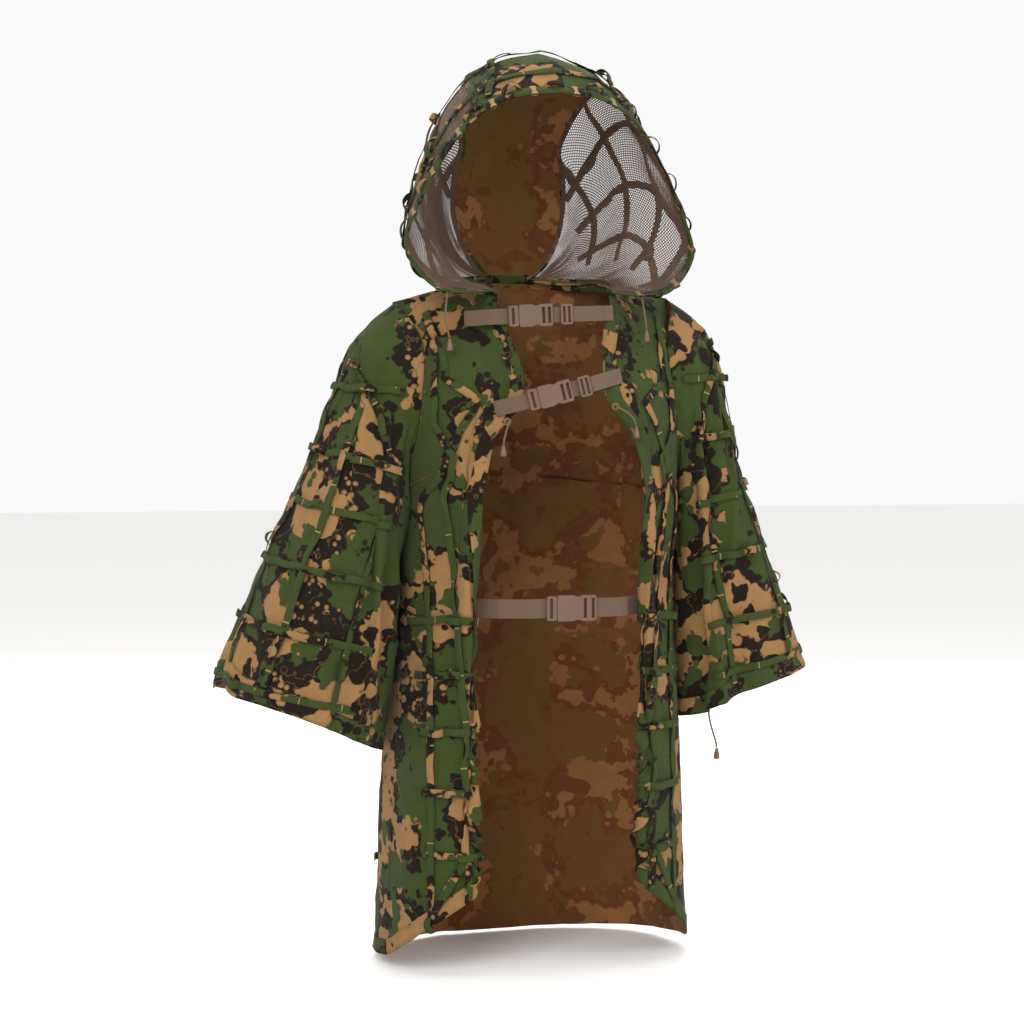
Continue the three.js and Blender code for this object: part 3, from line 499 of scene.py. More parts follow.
class Surface:
    """A fine grid of cloth with its outward normals and its flat coordinates in metres."""

    def __init__(self, grid, columns, rows, inside, factor=3, closed=False, fold=None, cut=None,
                 seams=""):
        self.closed = closed
        fine, flat = (
            np.swapaxes(finer(np.swapaxes(finer(g, factor), 0, 1), factor, closed), 0, 1)
            for g in (grid, grid if cut is None else cut)
        )
        self.columns = finer(np.asarray(columns, float), factor)
        self.rows = None if closed else finer(np.asarray(rows, float), factor)
        self.grid = fine
        self.cut = flat
        self.flatten(flat)
        self.normals = self.find_normals(inside)
        if fold is not None:
            self.grid = fine + self.normals * (fold(self.a, self.b) * self.away_from(seams))[..., None]
            self.normals = self.find_normals(inside)

    def away_from(self, seams, reach=14):
        """1 in open cloth, falling to 0 at the named seams: first or last column, top row."""
        n, m = self.grid.shape[:2]
        i, j = np.arange(n)[:, None], np.arange(m)[None]
        share = np.ones((n, m))
        for name, steps in (("first", i), ("last", n - 1 - i), ("top", j)):
            if name in seams:
                share = share * ease(steps / reach)
        return share

    def flatten(self, flat):
        """Distances along and across the cloth as it was cut."""
        step = np.linalg.norm(np.diff(flat, axis=0), axis=-1)
        self.a = np.concatenate([step[:1] * 0, np.cumsum(step, 0)])
        wide = np.concatenate([flat, flat[:, :1]], 1) if self.closed else flat
        step = np.linalg.norm(np.diff(wide, axis=1), axis=-1)
        full = np.concatenate([step[:, :1] * 0, np.cumsum(step, 1)], 1)
        self.around = full[:, -1:]
        self.b = full[:, :-1] if self.closed else full

    def find_normals(self, inside):
        du = np.gradient(self.grid, axis=0)
        if self.closed:
            dv = np.roll(self.grid, -1, 1) - np.roll(self.grid, 1, 1)
        else:
            dv = np.gradient(self.grid, axis=1)
        normals = unit(np.cross(du, dv))
        self.flip = (normals * (self.grid - inside(self.grid))).sum() < 0
        return -normals if self.flip else normals

    def at(self, u, v):
        """Points and normals at shares u and v."""
        n, m = self.grid.shape[:2]
        i = np.interp(u, self.columns, np.arange(n))
        j = np.asarray(v) % 1 * m if self.closed else np.interp(v, self.rows, np.arange(m))
        i0 = np.clip(i.astype(int), 0, n - 2)
        j0 = j.astype(int) % m if self.closed else np.clip(j.astype(int), 0, m - 2)
        j1 = (j0 + 1) % m
        s, t = (i - i0)[..., None], (j - np.floor(j) if self.closed else j - j0)[..., None]

        def pick(f):
            return mix(mix(f[i0, j0], f[i0 + 1, j0], s), mix(f[i0, j1], f[i0 + 1, j1], s), t)

        return pick(self.grid), unit(pick(self.normals))

    def area(self):
        quads = self.grid[grid_index(self.grid.shape[:2], self.closed)]
        cross = np.cross(quads[:, 2] - quads[:, 0], quads[:, 3] - quads[:, 1])
        return float(np.linalg.norm(cross, axis=1).sum() / 2)


def grid_index(shape, closed):
    faces = grid_faces(shape, closed)
    return faces // shape[1], faces % shape[1]


# ---------------------------------------------------------------- meshes


def make_mesh(name, points, faces, materials, uvs=None, cut=None, smooth=True):
    mesh = bpy.data.meshes.new(name)
    faces = [tuple(int(i) for i in f) for f in faces]
    mesh.from_pydata(np.asarray(points, float).tolist(), [], faces)
    if uvs is not None:
        layer = mesh.uv_layers.new(name="flat")
        layer.data.foreach_set("uv", np.asarray(uvs, np.float32).ravel())
    if cut is not None:
        layer = mesh.attributes.new("cut", "FLOAT_VECTOR", "POINT")
        layer.data.foreach_set("vector", np.asarray(cut, np.float32).ravel())
    for material in materials:
        mesh.materials.append(material)
    mesh.shade_smooth() if smooth else mesh.shade_flat()
    piece = bpy.data.objects.new(name, mesh)
    bpy.context.collection.objects.link(piece)
    return piece


def cloth_mesh(name, surface, outside, inside, thickness=0.0009, shift=(0.0, 0.0)):
    shape = surface.grid.shape[:2]
    faces = grid_faces(shape, surface.closed)
    i, j = grid_index(shape, surface.closed)
    uvs = np.stack([surface.a[i, j], surface.b[i, j]], -1)
    if surface.closed:
        wrapped = (j == 0) & (j.max(1, keepdims=True) == shape[1] - 1)
        uvs[..., 1] = np.where(wrapped, surface.around[i, 0], uvs[..., 1])
    uvs = uvs + np.array(shift)
    if surface.flip:
        faces, uvs = faces[:, ::-1], uvs[:, ::-1]
    cut = surface.cut.reshape(-1, 3)
    piece = make_mesh(name, surface.grid.reshape(-1, 3), faces, [outside, inside], uvs, cut)
    solid = piece.modifiers.new("thickness", "SOLIDIFY")
    solid.thickness = thickness
    solid.offset = -1
    solid.material_offset = 1
    return piece


class Strips:
    """Flat strips, threads and tacks gathered into one mesh."""

    def __init__(self):
        self.points, self.faces, self.uvs, self.cut, self.count = [], [], [], [], 0

    def add(self, grid, uvs):
        n, m = grid.shape[:2]
        faces = grid_faces((n, m), False)
        self.faces.append(faces + self.count)
        self.points.append(grid.reshape(-1, 3))
        self.uvs.append(uvs.reshape(-1, 2)[faces])
        self.cut.append(np.concatenate([uvs.reshape(-1, 2), np.zeros((n * m, 1))], 1))
        self.count += n * m

    def mesh(self, name, material, thickness):
        piece = make_mesh(name, np.concatenate(self.points), np.concatenate(self.faces), [material],
                          np.concatenate(self.uvs), np.concatenate(self.cut))
        if thickness:
            solid = piece.modifiers.new("thickness", "SOLIDIFY")
            solid.thickness = thickness
            solid.offset = 0
        return piece


def path_on(surface, corners, step=0.005):
    """Points and normals along straight runs between (u, v) corners."""
    corners = np.array(corners, float)
    ends = surface.at(corners[:, 0], corners[:, 1])[0]
    reach = np.linalg.norm(np.diff(ends, axis=0), axis=1)
    runs = []
    for k, length in enumerate(reach):
        share = np.linspace(0, 1, max(3, int(length / step) + 1))
        runs.append(mix(corners[k], corners[k + 1], share[:, None])[(1 if k else 0) :])
    line = np.concatenate(runs)
    return surface.at(line[:, 0], line[:, 1])


def strip_along(strips, points, normals, width, lift, puff=0.0, pitch=0.065, wander=0.0, curl=0.0003):
    """A ribbon sewn down every pitch and standing off a little in between."""
    tangent = unit(np.gradient(points, axis=0))
    across = unit(np.cross(normals, tangent))
    run = np.concatenate([[0], np.cumsum(np.linalg.norm(np.diff(points, axis=0), axis=1))])
    phase = rng.uniform(0, 1)
    height = lift + puff * np.abs(np.sin(math.pi * (run / pitch + phase))) ** 1.5 * rng.uniform(0.5, 1.2)
    sway = wander * (np.sin(run * 41 + phase * 6.3) + 0.6 * np.sin(run * 97 + phase * 11))
    roll = 0.16 * np.sin(run * 60 + phase * 9) * (1 if puff else 0)
    grid = []
    for side in (-1, -0.4, 0.4, 1):
        edge = side * width / 2
        rise = height - curl * side * side * 2 + roll * edge
        grid.append(points + normals * rise[:, None] + across * (edge + sway)[:, None])
    grid = np.stack(grid, 1)
    uvs = np.stack(np.broadcast_arrays(run[:, None], np.array([[-1, -0.4, 0.4, 1]]) * width / 2), -1)
    strips.add(grid, uvs + rng.uniform(0, 3, 2))
    return points, tangent, across, run


def tack(strips, point, normal, along_way, length, width=0.0022, lift=0.0024):
    """A bar-tack: a short hump of dense thread."""
    t = np.linspace(-0.5, 0.5, 7)[:, None, None]
    s = np.linspace(-0.5, 0.5, 5)[None, :, None]
    side = unit(np.cross(normal, along_way))
    height = lift + 0.0007 * np.sqrt(np.maximum(0, 1 - (2 * s) ** 2))
    grid = point + along_way * t * length + side * s * width + normal * height
    strips.add(grid, np.stack(np.broadcast_arrays(t[..., 0] * length, s[..., 0] * width), -1) + 1)


def stitches(strips, points, normals, lift, pitch=0.0034, length=0.0024, width=0.0006):
    """A row of lockstitches along a line."""
    run = np.concatenate([[0], np.cumsum(np.linalg.norm(np.diff(points, axis=0), axis=1))])
    for s in np.arange(pitch / 2, run[-1] - pitch / 2, pitch):
        ends = [
            np.array([np.interp(s + k * length / 2, run, points[:, c]) for c in range(3)]) for k in (-1, 0, 1)
        ]
        normal = unit(np.array([np.interp(s, run, normals[:, c]) for c in range(3)]))
        side = unit(np.cross(normal, ends[2] - ends[0])) * width / 2
        ridge = [e + normal * (lift + h) for e, h in zip(ends, (0.0, 0.0004, 0.0))]
        grid = np.stack([[r - side - normal * 0.0003, r, r + side - normal * 0.0003] for r in ridge])
        strips.add(grid, np.zeros(grid.shape[:2] + (2,)))


# ---------------------------------------------------------------- materials


def nodes_of(name):
    material = bpy.data.materials.new(name)
    material.use_nodes = True
    tree = material.node_tree
    tree.nodes.clear()
    output = tree.nodes.new("ShaderNodeOutputMaterial")
    shader = tree.nodes.new("ShaderNodeBsdfPrincipled")
    tree.links.new(shader.outputs["BSDF"], output.inputs["Surface"])
    return material, tree, shader


def linear(hex_colour):
    rgb = [int(hex_colour[i : i + 2], 16) / 255 for i in (1, 3, 5)]
    return [c / 12.92 if c <= 0.04045 else ((c + 0.055) / 1.055) ** 2.4 for c in rgb] + [1]


class Graph:
    """Short calls for the nodes that the materials use."""

    def __init__(self, tree):
        self.tree = tree

    def put(self, socket, value):
        if isinstance(value, bpy.types.NodeSocket):
            self.tree.links.new(value, socket)
        else:
            socket.default_value = value

    def math(self, operation, a, b=0.0, c=0.0):
        node = self.tree.nodes.new("ShaderNodeMath")
        node.operation = operation
        for socket, value in zip(node.inputs, (a, b, c)):
            self.put(socket, value)
        return node.outputs[0]

    def vector(self, operation, a, b=(0, 0, 0), scale=None):
        node = self.tree.nodes.new("ShaderNodeVectorMath")
        node.operation = operation
        self.put(node.inputs[0], a)
        if scale is None:
            self.put(node.inputs[1], b)
        else:
            self.put(node.inputs["Scale"], scale)
        return node.outputs[0]

    def noise(self, where, scale, detail=2.0, colour=False):
        node = self.tree.nodes.new("ShaderNodeTexNoise")
        self.put(node.inputs["Vector"], where)
        node.inputs["Scale"].default_value = scale
        node.inputs["Detail"].default_value = detail
        return node.outputs["Color" if colour else "Fac"]

    def cells(self, where, scale):
        node = self.tree.nodes.new("ShaderNodeTexVoronoi")
        self.put(node.inputs["Vector"], where)
        node.inputs["Scale"].default_value = scale
        return node.outputs["Distance"]

    def blend(self, share, a, b, mode="MIX"):
        node = self.tree.nodes.new("ShaderNodeMix")
        node.data_type = "RGBA"
        node.blend_type = mode
        self.put(node.inputs[0], share)
        self.put(node.inputs[6], a)
        self.put(node.inputs[7], b)
        return node.outputs[2]

    def split(self, where):
        node = self.tree.nodes.new("ShaderNodeSeparateXYZ")
        self.put(node.inputs[0], where)
        return node.outputs

    def flat(self):
        return self.tree.nodes.new("ShaderNodeUVMap").outputs[0]

    def cut(self):
        """Where each point lay in the garment as it was cut, before it was draped."""
        node = self.tree.nodes.new("ShaderNodeAttribute")
        node.attribute_name = "cut"
        return node.outputs["Vector"]

    def bump(self, height, distance, strength=1.0, under=None):
        node = self.tree.nodes.new("ShaderNodeBump")
        node.inputs["Strength"].default_value = strength
        node.inputs["Distance"].default_value = distance
        self.put(node.inputs["Height"], height)
        if under is not None:
            self.put(node.inputs["Normal"], under)
        return node.outputs[0]


GREEN = "#323c1a"
BROWN = "#19120b"
TAN = "#84633e"
FADED = "#7c4a2a"
COYOTE = "#6d5038"


def lobes(g, where, field, size, threshold, seed, rough=0.23):
    """1 inside patches of a coarse field whose edges are scalloped by small discs."""
    moved = g.vector("ADD", where, (seed * 1.7, seed * 0.9, seed * 2.3))
    coarse = g.math("SUBTRACT", g.noise(moved, field, 1.0), threshold)
    disc = g.math("SUBTRACT", 0.42, g.cells(moved, size))
    edge = g.math("MULTIPLY_ADD", disc, rough, coarse)
    return g.math("MINIMUM", g.math("MAXIMUM", g.math("MULTIPLY_ADD", edge, 60.0, 0.5), 0.0), 1.0)


def camo_colour(g, where, scale, seed, spare=0.0):
    """Green with dark patches, and in most of those a tan one spotted with dark islands."""
    brown = lobes(g, where, scale, scale * 9.0, 0.465 + spare, seed, 0.1)
    tan = lobes(g, where, scale, scale * 9.0, 0.53 + spare, seed, 0.1)
    islands = lobes(g, where, scale * 2.5, scale * 9.0, 0.535, seed + 5.3, 0.1)
    green = lobes(g, where, scale * 2.1, scale * 8.0, 0.6, seed + 6.7, 0.14)
    specks = lobes(g, where, scale * 2.0, scale * 9.0, 0.65 + spare, seed + 8.2, 0.1)
    flecks = lobes(g, where, scale * 2.0, scale * 9.0, 0.61 + spare, seed + 10.4, 0.09)
    base = g.blend(brown, linear(GREEN), linear(BROWN))
    base = g.blend(specks, base, linear(BROWN))
    base = g.blend(tan, base, linear(TAN))
    base = g.blend(g.math("MULTIPLY", tan, islands), base, linear(BROWN))
    base = g.blend(g.math("MULTIPLY", brown, flecks), base, linear(TAN))
    return g.blend(green, base, linear(GREEN))


def threads(g, where, pitch):
    """Height of a plain weave with threads this far apart."""
    x, y, _ = g.split(where)
    warp = g.math("SINE", g.math("MULTIPLY", x, 6.2832 / pitch))
    weft = g.math("SINE", g.math("MULTIPLY", y, 6.2832 / pitch))
    return g.math("ADD", g.math("MULTIPLY", warp, weft), g.math("MULTIPLY", g.math("ABSOLUTE", warp), 0.5))


def ripstop(g, where, pitch=0.0055):
    x, y, _ = g.split(where)
    lines = [g.math("COSINE", g.math("MULTIPLY", axis, 6.2832 / pitch)) for axis in (x, y)]
    return g.math("MAXIMUM", *[g.math("MAXIMUM", g.math("SUBTRACT", line, 0.86), 0.0) for line in lines])


def camo(name, scale=11.0, seed=0.0, faded=0.0, weave=0.0011, grid=True, spare=0.0):
    material, tree, shader = nodes_of(name)
    g = Graph(tree)
    where, placed = g.flat(), g.cut()
    colour = camo_colour(g, placed, scale, seed, spare)
    if faded:
        colour = g.blend(faded, colour, linear(FADED))
    wear = g.math("MULTIPLY_ADD", g.noise(placed, 55.0, 4.0), 0.34, 0.83)
    fuzz = g.math("MULTIPLY_ADD", g.noise(where, 1400.0, 2.0), 0.5, 0.75)
    tone = g.math("MULTIPLY", wear, fuzz)
    grey = tree.nodes.new("ShaderNodeCombineColor")
    for socket in grey.inputs:
        g.put(socket, tone)
    g.put(shader.inputs["Base Color"], g.blend(1.0, colour, grey.outputs[0], "MULTIPLY"))
    shader.inputs["Roughness"].default_value = 0.88
    shader.inputs["Specular IOR Level"].default_value = 0.1
    shader.inputs["Sheen Weight"].default_value = 0.03
    shader.inputs["Sheen Roughness"].default_value = 0.5
    normal = g.bump(threads(g, where, weave), 0.00016, 0.7)
    if grid:
        normal = g.bump(ripstop(g, where), 0.0009, 0.8, normal)
    normal = g.bump(g.noise(where, 42.0, 4.0), 0.0035, 0.55, normal)
    g.put(shader.inputs["Normal"], normal)
    return material


def webbing_material(name, colour):
    material, tree, shader = nodes_of(name)
    g = Graph(tree)
    where = tree.nodes.new("ShaderNodeTexCoord").outputs["Object"]
    x, y, z = g.split(where)
    chevron = g.math("PINGPONG", g.math("ADD", z, g.math("MULTIPLY", y, 0.4)), 0.0022)
    rib = g.math("SINE", g.math("MULTIPLY", g.math("ADD", x, chevron), 6.2832 / 0.0016))
    # painted shade: the colour darkens in the grooves of the rib, where its bump is low, and lightens on its
    # crests; the fuzz noise below is the yarn's own uneven tone
    painted_rib_shade = g.math("MULTIPLY_ADD", rib, 0.12, 0.5)
    fuzz = g.noise(where, 900.0, 3.0)
    share = g.math("MULTIPLY_ADD", fuzz, 0.5, g.math("SUBTRACT", painted_rib_shade, 0.3))
    base = g.blend(share, linear("#4e3a28"), linear(colour))
    g.put(shader.inputs["Base Color"], base)
    shader.inputs["Roughness"].default_value = 0.8
    shader.inputs["Sheen Weight"].default_value = 0.1
    normal = g.bump(rib, 0.0004, 0.9)
    g.put(shader.inputs["Normal"], g.bump(fuzz, 0.0004, 0.4, normal))
    return material


def plain(name, colour, roughness=0.8, grain=1200.0, depth=0.0002, low=0.75):
    material, tree, shader = nodes_of(name)
    g = Graph(tree)
    where = tree.nodes.new("ShaderNodeTexCoord").outputs["Object"]
    speck = g.noise(where, grain, 3.0)
    dark = [c * low for c in linear(colour)[:3]] + [1]
    g.put(shader.inputs["Base Color"], g.blend(speck, dark, linear(colour)))
    patch = g.noise(where, 90.0, 3.0)
    g.put(shader.inputs["Roughness"], g.math("MULTIPLY_ADD", patch, 0.2, roughness - 0.1))
    g.put(shader.inputs["Normal"], g.bump(speck, depth, 0.6))
    return material


SHELL = camo("camo cotton", 10.5, 1.3)
SHELL_LEFT = camo("camo cotton left", 10.5, 4.9)
SHELL_SLEEVE = camo("camo cotton sleeve", 10.5, 9.2)
INSIDE = camo("camo inside", 10.5, 2.1, faded=0.55)
HOOD_INSIDE = camo("hood inside", 10.5, 5.1, faded=0.5)
RIBBON = camo("garnish ribbon", 12.0, 11.4, weave=0.0007, grid=False, spare=0.06)
DARK_RIBBON = camo("hood ribbon", 13.0, 15.2, faded=0.0, weave=0.0007, grid=False)
THREAD = plain("tan thread", "#80683f", 0.75, 2600.0, 0.0002)
GREEN_THREAD = plain("green thread", "#4c5135", 0.75, 2600.0, 0.0002)
NETTING = plain("hood mesh", "#5a4232", 0.7, 3000.0, 0.0001, 0.7)
WEBBING = webbing_material("webbing", COYOTE)
PLASTIC = plain("buckle plastic", "#594130", 0.5, 500.0, 0.00006, 0.9)
CORD = plain("cord", "#5f4d33", 0.85, 2200.0, 0.0004, 0.6)

# ---------------------------------------------------------------- body and sleeves
cut_grids = nominal_grids()
grids = drape(cut_grids)
BODY_WAVES = [(0.21, 0.35, 0.0032), (0.12, -0.2, 0.0022), (0.055, 0.5, 0.0011), (0.03, -0.7, 0.0005)]
SLEEVE_WAVES = [(0.15, 1.1, 0.0045), (0.085, 2.1, 0.003), (0.045, 1.2, 0.0013), (0.026, 2.2, 0.0005)]


def folds(seed, waves, size=1.0):
    return lambda a, b: wrinkles(a, b, seed, size, waves)


def body_axis(p):
    return p * np.array([0, 0, 1])


def ring_centre(p):
    return np.broadcast_to(p.mean(1, keepdims=True), p.shape)


surfaces = {}
for arm in ARMS:
    surfaces[f"front_{arm}"] = Surface(
        grids[f"front_{arm}"], FRONT_COLUMNS, rows_of(arm), body_axis, 3, False,
        folds(11 if arm == "left" else 5, BODY_WAVES),
        cut_grids[f"front_{arm}"], "last top",
    )
    surfaces[f"sleeve_{arm}"] = Surface(
        grids[f"sleeve_{arm}"], np.linspace(0, 1, SLEEVE_ROWS), None, ring_centre, 3, True,
        folds(21 if arm == "left" else 17, SLEEVE_WAVES), cut_grids[f"sleeve_{arm}"], "first",
    )
mean_rows = (rows_of("right") + rows_of("left")) / 2
surfaces["back"] = Surface(grids["back"], BACK_COLUMNS, mean_rows, body_axis, 3, False, folds(31, BODY_WAVES),
                           cut_grids["back"], "first last top")

LOOKS = {
    "front_right": (SHELL, INSIDE, (0.3, 0.2)),
    "front_left": (SHELL_LEFT, INSIDE, (0.7, 1.2)),
    "back": (SHELL, INSIDE, (1.6, 2.2)),
    "sleeve_right": (SHELL_SLEEVE, INSIDE, (0.1, 0.4)),
    "sleeve_left": (SHELL_SLEEVE, INSIDE, (2.3, 1.1)),
}
NODE_OF = {
    "front_right": "front_panel_right",
    "front_left": "front_panel_left",
    "back": "back_panel",
    "sleeve_right": "sleeve_right",
    "sleeve_left": "sleeve_left",
}
panels = {}
for name, (outside, inside, shift) in LOOKS.items():
    panel = cloth_mesh(f"{name}_cloth", surfaces[name], outside, inside, shift=shift)
    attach(panel, "garment")
    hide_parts(NODE_OF[name])
    panels[name] = panel


# ---------------------------------------------------------------- hems, seams and ribbons on the body
sewn = {name: [] for name in panels}


def finish_strips(strips, name, material, thickness, body, replaced=()):
    piece = strips.mesh(name, material, thickness)
    if body == "hood":
        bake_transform(piece)
    else:
        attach(piece, body)
    if replaced:
        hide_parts(*replaced)
    return piece


def edge_line(surface, edge, inset, count=260):
    """Points and normals along one edge of a surface, this far in from it."""
    along_edge = np.linspace(0.004, 0.996, count)
    if edge == "cuff":
        reach = surface.a[-1].mean()
        return surface.at(np.full(count, 1 - inset / reach), np.linspace(0, 1, count))
    if edge == "hem":
        u = mix(surface.columns[0], surface.columns[-1], along_edge)
        depth = surface.b[:, -1].mean() * 1.0
        return surface.at(u, np.full(count, 1 - inset / depth))
    width = surface.a[-1].mean()
    u = inset / width if edge == "opening" else 1 - inset / width
    low = 0.03 if edge == "opening" else 0.3
    return surface.at(np.full(count, u), mix(low, 0.997, along_edge))


def hem_and_stitches(name, edges, width=0.02):
    surface = surfaces[name]
    bands, seams = Strips(), Strips()
    for edge in edges:
        points, normals = edge_line(surface, edge, width / 2)
        strip_along(bands, points, normals, width, 0.0009, curl=0.0)
        for inset in (width * 0.9, 0.003):
            points, normals = edge_line(surface, edge, inset, 320)
            stitches(seams, points, normals, 0.0012)
    piece = finish_strips(bands, f"{name}_hem", LOOKS[name][0], 0.0009, "garment")
    seam = finish_strips(seams, f"{name}_stitches", GREEN_THREAD, 0, "garment")
    sewn[name] += [piece, seam]


hem_and_stitches("front_right", ["opening", "hem"])
hem_and_stitches("front_left", ["opening", "hem"])
hem_and_stitches("back", ["hem"])
hem_and_stitches("sleeve_right", ["cuff"], 0.024)
hem_and_stitches("sleeve_left", ["cuff"], 0.024)

FRONT_ROUTES = [
    [(168, -50), (151, -122), (118, -151), (149, -210), (186, -300), (188, -866)],
    [(160, -36), (160, -84), (162, -126), (168, -180), (149, -222), (150, -430), (150, -805)],
    *[[(124, z), (193, z - 3)] for z in (-436, -507, -580, -659, -740)],
    [(150, -745), (186, -820)],
]
BACK_ROUTES = [
    [(0.09, v), (0.3, v + 0.01), (0.5, v + 0.015), (0.7, v + 0.01), (0.91, v)]
    for v in (0.17, 0.33, 0.5, 0.68, 0.86)
]
BACK_ROUTES += [[(u, 0.05 if 0.2 < u < 0.8 else 0.12), (u, 0.97)] for u in (0.18, 0.34, 0.5, 0.66, 0.82)]
SLEEVE_BANDS = {  # height at the outside of the sleeve, and how far each band falls towards the front
    "right": [
        (-0.134, 0.01), (-0.213, 0.033), (-0.279, 0.038),
        (-0.356, 0.038), (-0.434, 0.044), (-0.511, 0.045),
    ],
    "left": [
        (-0.115, 0.01), (-0.19, 0.015), (-0.262, 0.03),
        (-0.341, 0.026), (-0.424, 0.032), (-0.485, 0.04),
    ],
}
SLEEVE_LONGS = [0.02, 0.125, 0.27]


def share_at_height(surface, turn, height):
    """How far down the sleeve a line along it reaches a height."""
    t = np.linspace(0.02, 0.985, 90)
    z = surface.at(t, np.full(90, turn))[0][:, 2]
    return float(np.interp(-height, -z, t)) if z[0] > height else None


def sleeve_routes(arm):
    surface = surfaces[f"sleeve_{arm}"]
    routes = [[(0.14, 0.28), (0.16, 0.12), (0.18, 0.06)]]
    for height, fall in SLEEVE_BANDS[arm]:
        band = []
        for turn in np.linspace(-0.03, 0.33, 10):
            t = share_at_height(surface, turn, height - fall * max(turn, 0) / 0.33)
            if t is not None:
                band.append((t, turn))
        if len(band) > 2:
            routes.append(band)
    routes += [[(t, turn) for t in (0.22, 0.4, 0.6, 0.8, 0.96)] for turn in SLEEVE_LONGS]
    return routes


RIBBON_WIDTH = 0.010


def ribbon_net(surface, routes, name, material, body, node, loops=0):
    """Ribbons with puffs between their tacks, bar-tacks at the start and every pitch, and short loops."""
    strips, tacks = Strips(), Strips()
    for number, corners in enumerate(routes):
        points, normals = path_on(surface, corners)
        lift = 0.0022 + 0.0009 * (number % 3)
        _, tangent, across, run = strip_along(
            strips, points, normals, RIBBON_WIDTH, lift, puff=0.0022, wander=0.0005, curl=0.0003
        )
        for s in np.arange(0.004, run[-1], 0.062):
            i = min(int(np.searchsorted(run, s)), len(points) - 1)
            tack(tacks, points[i], normals[i], across[i], 0.0085, lift=lift + 0.0006)
        for _ in range(loops):
            i = int(rng.integers(4, max(5, len(points) - 4)))
            add_loop(strips, points[i], normals[i], tangent[i], across[i], lift)
    net = finish_strips(strips, name, material, 0.0006, body, [node])
    dots = finish_strips(tacks, f"{name}_tacks", THREAD, 0, body)
    return [net, dots]


def add_loop(strips, point, normal, tangent, across, lift):
    """A free loop of ribbon, its two ends close together."""
    span, height = rng.uniform(0.018, 0.034), rng.uniform(0.004, 0.011)
    t = np.linspace(-1, 1, 11)
    lean = rng.uniform(-0.4, 0.4)
    line = point + tangent * (t * span / 2)[:, None] + normal * (height * (1 - t**2) ** 0.7 + lift)[:, None]
    line += across * (lean * height * (1 - t**2))[:, None]
    outward = unit(normal + tangent * (t * 1.2)[:, None])
    strip_along(strips, line, outward, RIBBON_WIDTH * 0.95, 0.0)


def front_routes(arm):
    return [[front_share(arm, x, z) for x, z in route] for route in FRONT_ROUTES]


for arm in ARMS:
    name = f"front_{arm}"
    sewn[name] += ribbon_net(
        surfaces[name], front_routes(arm), f"front_net_{arm}", RIBBON, "garment", f"front_ribbons_{arm}", 1
    )
    name = f"sleeve_{arm}"
    sewn[name] += ribbon_net(
        surfaces[name], sleeve_routes(arm), f"sleeve_net_{arm}", RIBBON, "garment", f"sleeve_ribbons_{arm}", 1
    )
sewn["back"] += ribbon_net(surfaces["back"], BACK_ROUTES, "back_net", RIBBON, "garment", "back_ribbons", 2)

# ---------------------------------------------------------------- hood
HOOD_Q = np.linspace(0.0, 1.0, 33)


def head_centre(p):
    centre = np.zeros_like(p)
    centre[..., 1] = 0.01
    centre[..., 2] = np.minimum(p[..., 2] - 0.012, 0.15)
    return centre


def hood_surface(side, low, high, fold=None, q_from=0.0):
    q = mix(q_from, 1.0, HOOD_Q)
    share = np.linspace(0, 1, 21)
    p = mix(low(q)[:, None], high(q)[:, None], share[None])
    points = hood_point(side, p, np.broadcast_to(q[:, None], p.shape)) * MM
    return Surface(points, q, share, head_centre, 3, False, fold)


def none_of(q):
    return q * 0.0


HOOD_WAVES = [(0.13, 0.4, 0.0026), (0.06, 1.6, 0.0013), (0.03, 0.9, 0.0004)]
hood_sides = {
    arm: hood_surface(ARMS[arm]["side"], none_of, crown_edge, folds(41 + ARMS[arm]["side"], HOOD_WAVES))
    for arm in ARMS
}


def crown_surface():
    q = HOOD_Q
    across = np.linspace(-1, 1, 31)
    p = 1 - np.abs(across)[None] * (1 - crown_edge(q))[:, None]
    side = np.where(across < 0, -1, 1)[None]
    points = hood_point(side, p, np.broadcast_to(q[:, None], p.shape)) * MM
    return Surface(points, q, across, head_centre, 3, False, folds(47, HOOD_WAVES, 0.6))


crown = crown_surface()
hood_crown = cloth_mesh("hood_crown_cloth", crown, SHELL, HOOD_INSIDE, shift=(0.5, 1.9))
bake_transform(hood_crown)
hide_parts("hood_crown")

MESH_PITCH = 0.0043
HOLE_SHARE = 0.62


def net_faces(width, height, hole=HOLE_SHARE):
    """A flat knit of hexagonal holes: corner points and the strands between them."""
    columns, rows = int(width / MESH_PITCH), int(height / (MESH_PITCH * 0.866))
    i, j = np.meshgrid(np.arange(columns), np.arange(rows), indexing="ij")
    centre = np.stack([(i + 0.5 * (j % 2)) * MESH_PITCH, j * MESH_PITCH * 0.866], -1).reshape(-1, 1, 2)
    angle = math.pi / 6 + np.arange(6) * math.pi / 3
    corner = np.stack([np.cos(angle), np.sin(angle)], -1) * MESH_PITCH / math.sqrt(3)
    outer, inner = centre + corner, centre + corner * hole
    points = np.concatenate([outer.reshape(-1, 2), inner.reshape(-1, 2)])
    cells = np.arange(len(centre))[:, None] * 6 + np.arange(6)
    after = np.roll(cells, -1, 1)
    inside = len(centre) * 6
    faces = np.stack([cells, after, after + inside, cells + inside], -1).reshape(-1, 4)
    keys = np.round(points / 1e-6).astype(np.int64)
    _, first, back = np.unique(keys, axis=0, return_index=True, return_inverse=True)
    return points[first], back.ravel()[faces]


